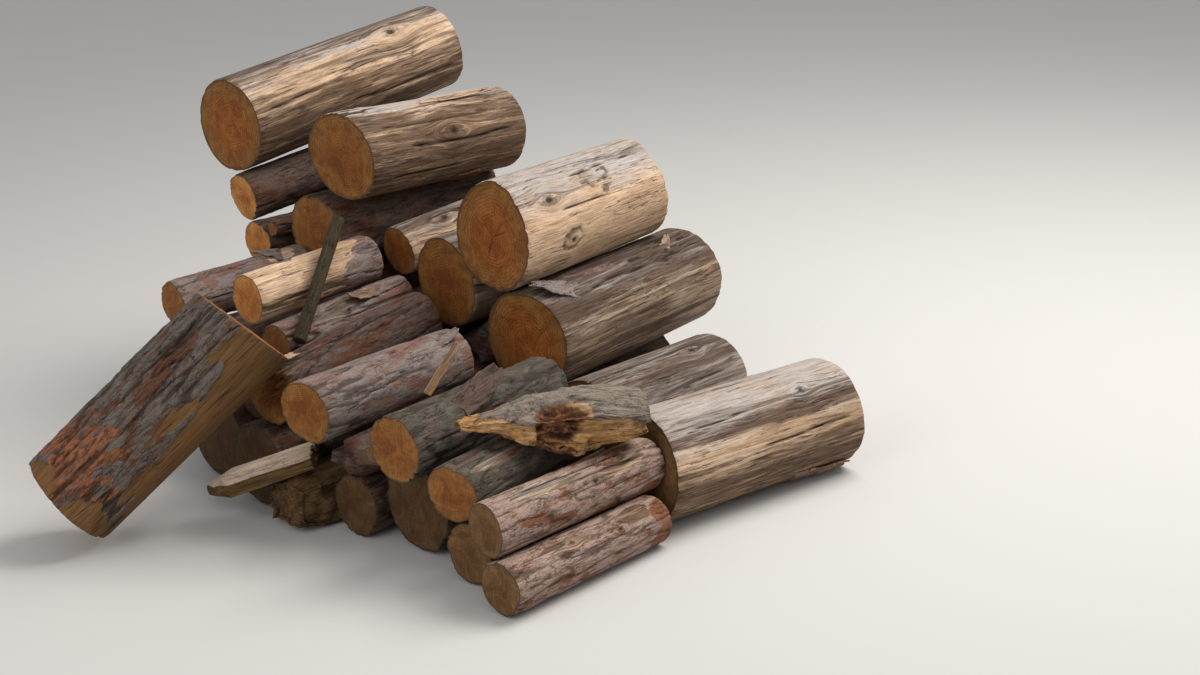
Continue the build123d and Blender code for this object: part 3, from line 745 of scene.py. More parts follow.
def side_material(name, wood, bark, red, fine=1.0, lichen=None):
    """A log's round side: bark, bare wood where the bark is gone, stains, knots and cracks."""
    n = Nodes(name)
    own = n.value("own")
    dark, bare, stain = n.parts(n.value("marks"))
    grey_share, dirt_and_shade_share, layer = n.parts(n.value("tone"))
    wood_tone, wood_high = wood_colour(n, own, wood, grey_share, dirt_and_shade_share)
    ragged = n.noise(own, (120, 50, 120), 6, 0.7)
    if bark is None:
        colour, height = wood_tone, wood_high
    else:
        bark_tone, bark_high = bark_colour(n, own, bark, fine, layer)
        if lichen is not None:
            spots = n.noise(own, (45, 30, 45), 8, 0.75, 0.5)
            bark_tone = n.cover(bark_tone, lichen, spots, (0.52, 0.0), (0.62, 0.7))
        share = n.nudge(bare, ragged, 0.6)
        share = n.ramp(share, [(0.42, 0.0), (0.5, 1.0)])
        colour = n.mix(share, bark_tone, wood_tone)
        height = n.mix(share, bark_high, wood_high)
    reach = n.nudge(stain, ragged, 1.2)
    stained = n.cover(red, colour, ragged, (0.4, 0.75), (0.55, 0.0), way="MULTIPLY")
    colour = n.cover(colour, stained, reach, (0.35, 0.0), (0.6, 0.85))
    # Dark marks drawn near black: knots darker by their own colour; cracks, fissures, scar grooves and gaps
    # between lifted splinters as painted shade
    colour = n.cover(colour, dimmed(wood[3], 0.2), dark, (0.15, 0.0), (0.8, 0.93))
    return n.finish(colour, n.bump(height, 0.8, 0.004), n.ramp(ragged, [(0.3, 0.72), (0.7, 0.92)]))


def end_material(name, heart, sap, rim, dirt, rings, star=0.35):
    """A sawn end: heartwood, sapwood, yearly rings, saw marks, drying splits and a dark rim of bark."""
    n = Nodes(name)
    own = n.value("own")
    disc_x, disc_z = n.parts(n.value("disc"))[:2]
    flat = n.add("CombineXYZ", disc_x, None, disc_z).outputs[0]
    radius = n.add("VectorMath", flat, operation="LENGTH").outputs["Value"]
    wobble = n.noise(own, (16, 0.01, 16), 3)
    bent = n.nudge(radius, wobble, 0.22)
    way = n.add("VectorMath", flat, operation="NORMALIZE").outputs[0]
    way = n.mix(1.0, way, n.scaled(own, (0.5, 0.01, 0.5)), "ADD")
    spokes = n.noise(way, (3.2, 3.2, 3.2), 3)
    edge = n.nudge(bent, spokes, star)
    between = tuple(0.5 * (h + s) for h, s in zip(heart, sap))
    colour = n.ramp(edge, [(0.3, heart), (0.62, between), (0.8, sap)])
    ring = n.maths("SINE", n.times(bent, rings * RING_TURN))
    ring_strength = n.noise(own, (30, 0.01, 30), 2)
    ring_share = n.ramp(ring, [(0.1, 0.0), (0.95, 0.9)])
    colour = n.mix(n.times(ring_share, ring_strength), colour, dirt, "MULTIPLY")
    saw = n.noise(own, (600, 0.01, 35), 3, 0.6, turn=0.6)
    colour = n.cover(colour, dirt, saw, (0.35, 0.55), (0.6, 0.0), way="MULTIPLY")
    fuzz = n.noise(own, (260, 0.01, 260), 4, 0.7)
    colour = n.cover(colour, dirt, fuzz, (0.35, 0.5), (0.55, 0.0), way="MULTIPLY")
    blotch = n.noise(own, (24, 0.01, 24), 6, 0.7, 1.0)
    colour = n.cover(colour, dirt, blotch, (0.4, 0.75), (0.6, 0.0), way="MULTIPLY")
    rays = n.noise(way, (9, 9, 9), 2, 0.4)
    ray = n.lines(rays, 0.008)
    ray = n.times(ray, n.ramp(bent, [(0.15, 0.9), (0.75, 0.0)]))
    colour = n.mix(ray, colour, dimmed(dirt, 0.25))
    split = n.parts(n.value("marks"))[0]
    # The drying splits are drawn near black: painted shade inside them
    colour = n.cover(colour, (0.02, 0.012, 0.008), split, (0.2, 0.0), (0.7, 0.95))
    edge_noise = n.nudge(radius, fuzz, 0.09)
    colour = n.cover(colour, rim, edge_noise, (0.93, 0.0), (0.985, 0.75))
    height = n.weigh((saw, 0.5), (ring, 0.08), (ray, -0.8))
    return n.finish(colour, n.bump(height, 0.5, 0.0015), n.ramp(blotch, [(0.3, 0.65), (0.7, 0.85)]))


# The sides of logs: the finish, its wood, bark and stains as colours of the panel (a name, or a name and
# the share of it that is kept), how fine the bark is, and the lichen on it
PALE = ("pale_wood", "tan_wood", "grey_wood", "brown_wood")
GREYED = (("aged_wood", 1.2), ("tan_wood", 0.8), ("grey_wood", 0.75), ("brown_wood", 0.8))
GOLDEN = ("gold_wood", ("gold_wood", 0.6), ("gold_wood", 0.8), "brown_wood")
ROSY_BARK = ("brown_wood", "rosy_bark", "rosy_grey", "rosy_inner")
WARM_BARK = (("brown_wood", 1.3), ("rosy_bark", 1.25), "pink_wood", ("red_bark", 0.7))
# The lichen logs' bark and lichen are darkened partly as painted shade under the logs that overhang them
LICHEN_BARK = (("pine_bark", 0.4), ("pine_bark", 0.95), ("lichen", 0.9), ("rosy_bark", 0.6))
PINE_BARK = (("pine_bark", 0.45), "pine_bark", "pine_grey", ("red_bark", 0.45))
# Bark of the dim logs, its tones lowered partly as painted shade of the low, shaded places where they lie
SHADE_DIMMED_BARK = (("pine_bark", 0.4), ("pine_bark", 0.9), ("rosy_bark", 0.7), ("red_bark", 0.4))
SIDES = {
    "cream": ("debarked_cream_wood", PALE, None, ("tan_wood", 0.8)),
    "greying": ("greying_wood", GREYED, None, "rosy_bark"),
    "rosy": ("rosy_thin_bark", PALE, ROSY_BARK, ("rosy_bark", 1.2), 1.5),
    "warm": ("warm_thin_bark", PALE, WARM_BARK, ("red_bark", 0.8), 1.6),
    "lichen": ("lichen_bark", PALE, LICHEN_BARK, ("rosy_bark", 0.7), 1.3, ("lichen", 1.3)),
    "pine": ("plated_pine_bark", GOLDEN, PINE_BARK, "red_bark"),
    "dim": ("dim_bark", GREYED, SHADE_DIMMED_BARK, "brown_wood", 1.3),
}
# Sawn ends: the finish, its heart, its outer wood, its rim, and how many rings and how wavy they are
ENDS = {
    "bright": ("fresh_sawn_end", "bright_heart", "bright_sap", "pine_bark", 13.0),
    "red": ("red_heart_sawn_end", "red_heart", "orange_sap", ("pine_bark", 0.6), 15.0, 0.7),
    "orange": ("orange_sawn_end", "orange_heart", "orange_sap", ("pine_bark", 0.6), 15.0),
    "olive": ("olive_sawn_end", "olive_heart", "olive_sap", ("pine_bark", 0.5), 16.0),
    # Dim ends: olive heart and sapwood kept at 0.6 and the rim at 0.4, darker partly by their own colour and
    # partly as painted shade
    "dim": ("dim_sawn_end", ("olive_heart", 0.6), ("olive_sap", 0.6), ("pine_bark", 0.4), 16.0),
}


class Kit:
    """The heap's materials, each made once from the colours in the panel."""

    def __init__(self, colours):
        self.colours = colours
        self.made = {}

    def tone(self, shade):
        name, share = (shade, 1.0) if isinstance(shade, str) else shade
        return dimmed(getattr(self.colours, name), share)

    def tones(self, shades):
        return [self.tone(shade) for shade in shades] if shades else None

    def make(self, name, maker, *values):
        if name not in self.made:
            self.made[name] = maker(name, *values)
        return self.made[name]

    def side(self, look):
        name, wood, bark, stain, *more = SIDES[look["side"]]
        if len(more) == 2:
            more[1] = self.tone(more[1])
        return self.make(name, side_material, self.tones(wood), self.tones(bark), self.tone(stain), *more)

    def end(self, look):
        name, heart, sap, rim, *more = ENDS[look["cut"]]
        return self.make(name, end_material, *self.tones([heart, sap, rim, "end_dirt"]), *more)

    def split(self, look):
        return self.make(look["finish"], split_material, self.tones(look["wood"]), self.tones(look["bark"]),
                         self.tone(look["rot"]))


def family(common, **looks):
    """Looks of several logs that share some of their values."""
    return {name: {**common, **look} for name, look in looks.items()}


# What each log looks like: its skin and finish; knots (metres along, degrees round, size); drying cracks
# (start, end, degrees, width, depth); greyed weathering, and dark weathering that also paints shade on the
# undersides (degrees, width, amount); bare patches, red patches and scars (along, degrees, size, stretch);
# torn fibres (along, degrees, size, lift); splits of a sawn end (degrees, reach) and how it is broken
# (depth, degrees, where it starts)
DEBARKED = family(
    dict(skin="bare", side="cream", slot="debarked_wood"),
    top_log=dict(
        seed=1, cut="red", grey=[(110, 55, 1.3)], dirt=[(-42, 50, 3.4), (110, 46, 1.2), (200, 60, 0.8)],
        knots=[(0.4425, 61, 0.017), (0.21, 150, 0.014), (0.47, 235, 0.016)],
        cracks=[(0.12, 0.58, 78, 0.003, 0.007), (0.02, 0.3, 20, 0.0025, 0.005),
            (0.25, 0.6, -12, 0.0025, 0.005), (0.1, 0.5, 170, 0.003, 0.006),
            (0.2, 0.55, 262, 0.0025, 0.005)], far=dict(splits=[(40, 0.7)])),
    second_log=dict(
        seed=2, cut="orange", grey=[(85, 34, 0.9)], dirt=[(-42, 46, 3.6), (45, 30, 1.1), (170, 50, 0.6)],
        knots=[(0.25, 19, 0.018), (0.33, 140, 0.015), (0.12, 220, 0.014)],
        cracks=[(0.03, 0.4, 42, 0.0025, 0.005), (0.1, 0.45, 8, 0.003, 0.006),
            (0.05, 0.3, -28, 0.0025, 0.004), (0.1, 0.4, 190, 0.003, 0.005),
            (0.2, 0.45, 95, 0.003, 0.006)], flare=[(0.012, 80, 0.05, 0.006)]),
    big_pale_log=dict(
        seed=3, cut="red", nicks=0.009, grey=[(80, 42, 1.7), (180, 60, 0.8)],
        dirt=[(60, 30, 0.2), (250, 60, 0.8)],
        knots=[(0.094, 40, 0.014), (0.127, -11, 0.01), (0.3, 160, 0.016), (0.2, 230, 0.015)],
        scars=[(0.252, 47, 0.028, 1.5), (0.13, -12, 0.02, 1.6)],
        cracks=[(0.15, 0.44, 62, 0.0022, 0.004), (0.08, 0.36, 25, 0.002, 0.004),
            (0.12, 0.44, 120, 0.003, 0.006), (0.05, 0.4, 200, 0.003, 0.005)],
        near=dict(splits=[(20, 0.55), (140, 0.5), (255, 0.6)]), far=dict(splits=[(80, 0.7)])),
    knotty_log=dict(
        seed=4, cut="orange", grey=[(90, 60, 0.8)], dirt=[(70, 50, 0.8)],
        knots=[(0.12, 60, 0.014), (0.3, 100, 0.012)], cracks=[(0.05, 0.35, 75, 0.003, 0.005)]),
    ground_log=dict(
        seed=5, cut="olive", grey=[(75, 50, 1.3), (160, 50, 0.9)],
        dirt=[(-50, 40, 3.2), (38, 12, 1.0), (200, 50, 0.8)],
        knots=[(0.36, 55, 0.01), (0.2, 190, 0.016), (0.33, 130, 0.014)],
        cracks=[(0.05, 0.42, 50, 0.0025, 0.004), (0.2, 0.48, 12, 0.0025, 0.005),
            (0.05, 0.3, 100, 0.003, 0.005), (0.1, 0.45, 165, 0.003, 0.006)],
        far=dict(splits=[(120, 0.7), (300, 0.5)])))

GREYING = family(
    dict(skin="bare", side="greying", slot="grey_wood"),
    big_grey_log=dict(
        seed=6, cut="red", stain=0.6, grey=[(75, 40, 1.5)],
        dirt=[(62, 34, 2.6), (150, 60, 0.9), (-20, 30, 0.7)],
        knots=[(0.38, 52, 0.009), (0.42, 80, 0.01), (0.25, 170, 0.015)],
        flare=[(0.45, 74, 0.05, 0.007), (0.3, 68, 0.02, 0.004)],
        cracks=[(0.1, 0.48, 55, 0.003, 0.006), (0.2, 0.5, 5, 0.0025, 0.004),
            (0.1, 0.4, 100, 0.003, 0.005), (0.1, 0.45, 200, 0.003, 0.005)],
        far=dict(splits=[(60, 0.5), (200, 0.5)])),
    low_grey_log=dict(
        seed=7, cut="olive", stain=0.3, grey=[(60, 70, 1.6)], dirt=[(60, 60, 0.9)],
        knots=[(0.3, 70, 0.012)], cracks=[(0.05, 0.38, 80, 0.003, 0.005), (0.1, 0.38, 30, 0.003, 0.004)]),
    middle_log=dict(
        seed=8, cut="orange", stain=0.5, grey=[(90, 60, 0.8)], dirt=[(60, 60, 0.8)],
        knots=[(0.2, 100, 0.014)], cracks=[(0.1, 0.45, 110, 0.003, 0.005)]))

ROSY = family(
    dict(skin="bark", slot="rosy_bark"),
    pink_log=dict(
        seed=9, side="rosy", cut="bright", rough=0.5, fine=1.6,
        bare=[(0.02, 20, 0.1, 1.9), (0.2, 75, 0.04, 2.5)], step=0.0015, stain=0.9,
        dirt=[(-10, 14, 1.2)], cracks=[(0.02, 0.2, -10, 0.002, 0.003)]),
    rosy_log=dict(
        seed=10, side="rosy", cut="orange", rough=0.55, fine=1.5, step=0.0015, stain=0.6,
        knots=[(0.22, 80, 0.009)]),
    # Its dim bark is darkened partly as painted shade under the logs that overhang it
    chewed_end_log=dict(
        seed=11, side="dim", cut="orange", rough=0.8, fine=1.4, bare=[(0.0, 60, 0.05, 1.0)],
        step=0.002, stain=0.25, dirt=[(60, 80, 1.6)], near=dict(broken=(0.05, 60, -0.6)),
        flare=[(0.03, 80, 0.04, 0.007)], cracks=[(0.06, 0.4, 70, 0.0025, 0.004)]),
    upper_front_log=dict(
        seed=12, side="warm", cut="olive", rough=0.45, fine=1.6,
        bare=[(0.15, 70, 0.022, 5.0), (0.33, 45, 0.014, 4.0), (0.2, 190, 0.04, 3.0)],
        step=0.0015, grey=[(80, 40, 0.8)], dirt=[(55, 60, 0.7)], stain=0.7,
        knots=[(0.25, 35, 0.009), (0.33, 70, 0.007)],
        cracks=[(0.05, 0.35, 75, 0.0022, 0.004), (0.15, 0.4, 50, 0.002, 0.003)]),
    lower_front_log=dict(
        seed=13, side="warm", cut="olive", rough=0.45, fine=1.6,
        bare=[(0.12, 60, 0.014, 5.0), (0.32, 60, 0.018, 3.5), (0.2, 160, 0.04, 3.0)],
        step=0.0015, grey=[(80, 40, 0.6)], dirt=[(55, 60, 0.9)], stain=0.8,
        knots=[(0.16, 60, 0.006), (0.28, 40, 0.006)]))

LICHEN = family(
    dict(skin="bark", side="lichen", cut="orange", slot="lichen_bark", step=0.002),
    lichen_log=dict(
        seed=14, rough=0.8, fine=1.3, stain=0.4, knots=[(0.3, 60, 0.012)]),
    slim_log=dict(
        seed=15, rough=0.55, fine=1.4, bare=[(0.1, 48, 0.012, 7.0)], grey=[(60, 60, 0.6)],
        dirt=[(50, 60, 1.0)], stain=0.5))

PINE = family(
    dict(skin="bark", cut="orange", slot="pine_bark"),
    leaning_bark_log=dict(
        seed=16, side="pine", rough=1.2, fine=1.25, detail=THICK,
        bare=[(0.33, -58, 0.125, 2.2), (0.44, -20, 0.06, 1.6), (0.0, -10, 0.07, 0.85),
            (0.0, 60, 0.06, 0.75), (0.0, -90, 0.07, 1.0), (0.0, 180, 0.06, 0.8),
            (0.47, 200, 0.07, 1.2)],
        red=[(0.09, 45, 0.065, 1.2), (0.07, 85, 0.04, 1.2), (0.1, 200, 0.06, 1.6)],
        step=0.005, stain=0.12, cracks=[(0.25, 0.47, 62, 0.0035, 0.006), (0.2, 0.47, 95, 0.003, 0.006)],
        far=dict(splits=[(70, 0.7), (250, 0.5)])),
    bark_log=dict(
        seed=17, side="rosy", rough=0.9, fine=1.2, bare=[(0.26, 80, 0.03, 1.6)],
        red=[(0.25, 60, 0.04, 1.3)], step=0.003, stain=0.3, knots=[(0.25, 75, 0.012)]),
    torn_bark_log=dict(
        seed=18, side="rosy", rough=0.9, fine=1.2,
        bare=[(0.22, 66, 0.016, 5.0), (0.14, 38, 0.012, 4.0)], grey=[(60, 60, 1.3)],
        dirt=[(50, 60, 1.6)], step=0.003, stain=0.3, knots=[(0.186, 40, 0.01)]))

# The dim and hidden logs take the dim bark and dim ends, whose colours are darkened partly as painted shade
DIM_LOOK = dict(skin="bark", side="dim", slot="dim_wood", fine=1.2, stain=0.3)
DIM = {
    name: dict(DIM_LOOK, seed=20 + k, cut=cut, rough=0.7)
    for k, (name, cut) in enumerate([
        ("orange_log", "orange"), ("upper_prop_log", "bright"), ("lower_prop_log", "bright"),
        ("prop_wedge_log", "orange"), ("second_ground_log", "olive"), ("wide_dim_log", "dim"),
        ("dim_ground_log", "dim"), ("left_dim_log", "dim")])
}

HIDDEN_NAMES = sorted(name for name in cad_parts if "_hidden_" in name)
HIDDEN = {
    name: dict(DIM_LOOK, seed=40 + k, cut="dim", rough=0.6)
    for k, name in enumerate(HIDDEN_NAMES)
}


class SplitForm:
    """A split or broken piece of the frame, with its longest way as its grain."""

    def __init__(self, node):
        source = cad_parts[node]
        self.mesh = source.data.copy()
        points = read_points(self.mesh)
        self.middle = (points.min(0) + points.max(0)) / 2
        centred = points - points.mean(0)
        way = np.linalg.svd(centred, full_matrices=False)[2][0]
        self.away = way if way[1] > 0 else -way
        self.right, self.up = cross_axes(self.away)
        along = (points - self.middle) @ self.away
        self.near = self.middle + self.away * along.min()
        self.long = float(along.max() - along.min())


def dress_split(node, look, kit, voxel):
    """A split piece: its solid remeshed finely, then torn into fibres, hollows and ragged ends."""
    form = SplitForm(node)
    obj = bpy.data.objects.new(node + "_wood", form.mesh)
    bpy.context.scene.collection.objects.link(obj)
    welded = bmesh.new()
    welded.from_mesh(form.mesh)
    bmesh.ops.remove_doubles(welded, verts=welded.verts, dist=WELD)
    welded.to_mesh(form.mesh)
    welded.free()
    remesh = obj.modifiers.new("even", "REMESH")
    remesh.mode = "VOXEL"
    remesh.voxel_size = voxel * 1
    remesh.use_smooth_shade = True
    bpy.context.view_layer.update()
    mesh = bpy.data.meshes.new_from_object(obj.evaluated_get(bpy.context.evaluated_depsgraph_get()))
    obj.modifiers.clear()
    obj.data = mesh
    points, ways = read_points(mesh), read_points(mesh, "normal")
    own = own_axes(form, points)
    angle = np.arctan2(own[:, 2], own[:, 0])
    place = Place(own, angle, np.hypot(own[:, 0], own[:, 2]), form.long, look["seed"])
    depth, dark, bare, stain = look["tear"](place, ways @ form.away)
    points = points - ways * depth[:, None]
    mesh.vertices.foreach_set("co", points.ravel())
    give_values(mesh, marks=columns(dark, bare, stain), own=own + look["seed"], disc=own)
    mesh.materials.clear()
    mesh.materials.append(kit.split(look))
    mesh.polygons.foreach_set("material_index", np.zeros(len(mesh.polygons), dtype=np.int32))
    mesh.polygons.foreach_set("use_smooth", np.ones(len(mesh.polygons), dtype=bool))
    mesh.update()
    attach(obj, "root")
    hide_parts(node)


def ragged_end(place, end_way, deep, across, seed):
    """How far the fibres at a split piece's ends are torn back."""
    return deep * np.abs(end_way) ** 2 * np.clip(place.noise(across, 5, seed, 2) + 0.3, 0, 1)


def tear_broken(place, end_way):
    """The rotten half log: bark above and at the left, a golden split face, dark rot in the middle."""
    share = place.along / place.long
    fibres = np.abs(place.noise(75, 6, 41, 3))
    ridges = np.abs(place.noise(30, 3.2, 49, 3))
    hollow = np.clip(place.noise(18, 11, 42, 3), 0, 1)
    wander = 0.16 * place.noise(14, 9, 43, 2) + 0.09 * place.noise(70, 40, 50, 3)
    middle = np.exp(-((share - 0.52 - wander) / 0.19) ** 4)
    front = ease(np.cos(place.angle - math.radians(-25)), -0.1, 0.5)
    bark = ease(place.own[:, 2] - 0.018 + 0.034 * place.noise(26, 12, 44, 3), 0.0, 0.008)
    bark = bark * (1 - ease(share, 0.36, 0.5) * (1 - ease(share, 0.62, 0.72)) * (0.3 + 0.7 * front))
    rot = np.clip(middle * (0.45 + 0.8 * front) + 0.5 * hollow * front - 0.25, 0, 1)
    bits = np.abs(place.noise(60, 34, 45, 3))
    shreds = np.abs(place.noise(30, 9, 48, 3))
    depth = 0.001 + (0.006 * fibres + 0.026 * ridges) * (1 - bark)
    depth += 0.036 * rot * (0.1 + bits + 0.6 * shreds)
    depth += 0.005 * hollow * front + bark * 0.007 * np.abs(place.noise(70, 14, 46, 3))
    depth += ragged_end(place, end_way, 0.03, 60, 47)
    # Rot bits are darker partly by their own colour and partly as painted shade where cut deepest; deep
    # ridge grooves are marked dark as painted shade
    dark = np.clip(rot * (3.0 * bits - 0.15), 0, 1) + 0.4 * ease(ridges, 0.22, 0.5) * (1 - bark)
    return depth, np.clip(dark, 0, 1), 1 - bark, np.clip(rot * (0.6 + 2.0 * shreds), 0, 1)


def tear_slab(place, end_way):
    """A split slab: a pale back above, and long torn fibres."""
    fibres = np.abs(place.noise(90, 7, 51, 3))
    bark = ease(place.own[:, 2] + 0.008 * place.noise(20, 10, 52, 2), 0.006, 0.010)
    depth = 0.0006 + 0.006 * fibres * (1 - 0.5 * bark)
    depth += ragged_end(place, end_way, 0.015, 80, 53)
    return depth, 0.35 * (fibres < 0.05), 1 - bark, 0.3 * fibres


def tear_rotten(place, end_way):
    """A lump of dark, crumbling split wood."""
    fibres = np.abs(place.noise(60, 8, 61, 3))
    hollow = np.clip(place.noise(20, 13, 62, 3) + 0.1, 0, 1)
    depth = 0.001 + 0.008 * fibres + 0.018 * hollow
    depth += ragged_end(place, end_way, 0.02, 60, 63)
    # The hollows are cut deep and marked dark: painted shade in them, with brown rot there as well
    return depth, np.clip(hollow * 1.3 - 0.1, 0, 1), np.ones(len(depth)), np.clip(0.1 + 0.9 * hollow, 0, 1)


def tear_stick(place, end_way):
    """A stick: thin ridges along it."""
    fibres = np.abs(place.noise(140, 9, 71, 2))
    return 0.0003 + 0.0012 * fibres, 0.4 * (fibres < 0.06), np.zeros(len(fibres)), 0.2 * fibres


def tear_splinter(place, end_way):
    """A thin splinter of clean wood."""
    fibres = np.abs(place.noise(160, 9, 81, 2))
    nicks = np.clip(place.noise(90, 22, 82, 2), 0, 1)
    return 0.0002 + 0.001 * fibres + 0.003 * nicks, 0.3 * (fibres < 0.06), np.ones(len(fibres)), 0.1 * fibres


def split_material(name, tones, bark, rot):
    """Split wood: fibres in long ridges, crumbling brown rot, and grey bark where it is left."""
    n = Nodes(name)
    own = n.value("own")
    dark, bare, stain = n.parts(n.value("marks"))
    colour, height = wood_colour(n, own, tones, 0.45, 0.1)
    fibre = n.noise(own, (260, 12, 260), 5, 0.7)
    colour = n.cover(colour, tones[3], fibre, (0.35, 0.6), (0.55, 0.0), way="MULTIPLY")
    bark_tone, bark_high = bark_colour(n, own, bark, 1.3, 0.7)
    ragged = n.noise(own, (120, 60, 120), 5, 0.7)
    share = n.nudge(bare, ragged, 0.5)
    share = n.ramp(share, [(0.42, 0.0), (0.52, 1.0)])
    colour = n.mix(share, bark_tone, colour)
    height = n.mix(share, bark_high, height)
    crumble = n.noise(own, (170, 70, 170), 6, 0.7, 1.5)
    blocks = n.ramp(crumble, [(0.35, dimmed(rot, 0.2)), (0.5, rot), (0.62, dimmed(rot, 2.4))])
    reach = n.nudge(stain, ragged, 0.6)
    colour = n.cover(colour, blocks, reach, (0.4, 0.0), (0.65, 0.9))
    # On the broken log and the rotten lump the dark marks are painted shade in deep grooves and hollows,
    # with darker rot; elsewhere thin dark fibre lines
    colour = n.cover(colour, dimmed(rot, 0.15), dark, (0.3, 0.0), (1.0, 0.8))
    height = n.weigh((height, 1), (fibre, 0.6), (crumble, 0.8))
    return n.finish(colour, n.bump(height, 0.9, 0.005), n.ramp(ragged, [(0.3, 0.75), (0.7, 0.95)]))


# Each split piece: how it is torn, its finish, and the colours of its wood, its bark and its rot
SPLITS = {
    "broken_rotten_log": dict(
        seed=3.1, tear=tear_broken, slot="rotten_wood", finish="golden_split_wood",
        wood=(("split_gold", 1.2), ("split_gold", 0.75), ("pale_wood", 0.9), ("red_heart", 0.35)),
        bark=(("pine_bark", 0.6), ("grey_wood", 0.5), ("aged_wood", 0.9), ("tan_wood", 0.7)),
        rot="rot"),
    "split_slab": dict(
        seed=5.3, tear=tear_slab, slot="rotten_wood", finish="olive_split_wood",
        wood=(("split_gold", 0.42), ("split_gold", 0.26), ("olive_sap", 0.5), ("brown_wood", 0.8)),
        bark=(("grey_wood", 0.8), ("grey_wood", 1.2), ("pale_wood", 1.1), "tan_wood"),
        rot=("rot", 1.2)),
    "rotten_split": dict(
        seed=7.7, tear=tear_rotten, slot="rotten_wood", finish="rotten_split_wood",
        wood=(("olive_sap", 0.9), "olive_heart", ("brown_wood", 1.4), ("brown_wood", 0.8)),
        bark=(("pine_bark", 0.5), "pine_bark", ("grey_wood", 0.6), "brown_wood"),
        rot=("olive_heart", 0.6)),
    "stake": dict(
        seed=9.2, tear=tear_stick, slot="green_stick", finish="green_grey_stick",
        wood=(("stake", 1.3), "stake", ("stake", 0.8), ("stake", 0.45)),
        bark=(("stake", 0.45), "stake", ("stake", 1.3), ("tan_wood", 0.7)),
        rot=("stake", 0.5)),
    "thin_splinter": dict(
        seed=11.9, tear=tear_splinter, slot="split_wood", finish="orange_splinter_wood",
        wood=("pale_wood", ("bright_sap", 0.7), "tan_wood", "brown_wood"),
        bark=(("pine_bark", 0.5), "pine_bark", ("grey_wood", 0.6), "brown_wood"),
        rot=("red_heart", 0.6)),
}


def tint(name, description, value):
    return bpy.props.FloatVectorProperty(
        name=name, description=description, subtype="COLOR", size=3, min=0.0, max=1.0, default=value)


# Scraps of bark or wood: the log they hang on, metres along it, degrees round it, how long and wide they
# are, how far they lift, and the turn of their long way from the log's
FLAPS = {
    "big_grey_torn_bark": dict(
        node="big_grey_log", along=0.06, angle=68, long=0.12, wide=0.05, lift=0.022, turn=155,
        side="rosy", slot="rosy_bark", seed=61),
    "big_grey_white_shred": dict(
        node="big_grey_log", along=0.43, angle=72, long=0.045, wide=0.02, lift=0.009, turn=35,
        side="greying", thick=0.004, bare=1.0, slot="debarked_wood", seed=62),
    # A dark fin: its dim colour is partly its bark and partly painted shade on the side turned from the
    # light
    "lichen_dark_fin": dict(
        node="lichen_log", along=0.19, angle=57, long=0.1, wide=0.045, lift=0.05, bend=1.1, turn=10,
        side="dim", slot="dim_wood", seed=63, layer=0.9, ragged=0.15),
    "ground_torn_bark": dict(
        node="ground_log", along=0.4, angle=-50, long=0.13, wide=0.045, lift=0.007, turn=6, side="warm",
        slot="rosy_bark", seed=64, layer=0.2),
    "second_long_sliver": dict(
        node="second_log", along=0.31, angle=72, long=0.2, wide=0.016, lift=0.01, turn=-4, side="cream",
        bare=1.0, slot="debarked_wood", seed=65, thick=0.0025),
    "second_red_flake": dict(
        node="second_log", along=0.31, angle=-55, long=0.07, wide=0.035, lift=0.008, turn=30, side="pine",
        slot="pine_bark", seed=66, layer=0.0),
    "torn_white_bark": dict(
        node="torn_bark_log", along=0.24, angle=62, long=0.08, wide=0.026, lift=0.014, turn=175,
        side="greying", thick=0.004, bare=1.0, slot="debarked_wood", seed=67),
    "bark_log_flake": dict(
        node="bark_log", along=0.24, angle=80, long=0.06, wide=0.035, lift=0.012, turn=160, side="rosy",
        slot="rosy_bark", seed=68),
    "chewed_end_shred": dict(
        node="chewed_end_log", along=0.05, angle=85, long=0.08, wide=0.022, lift=0.012, turn=185,
        side="cream", bare=1.0, slot="debarked_wood", seed=69),
    "rosy_end_shred": dict(
        node="rosy_log", along=0.35, angle=62, long=0.05, wide=0.02, lift=0.016, turn=10, side="rosy",
        slot="rosy_bark", seed=70),
}


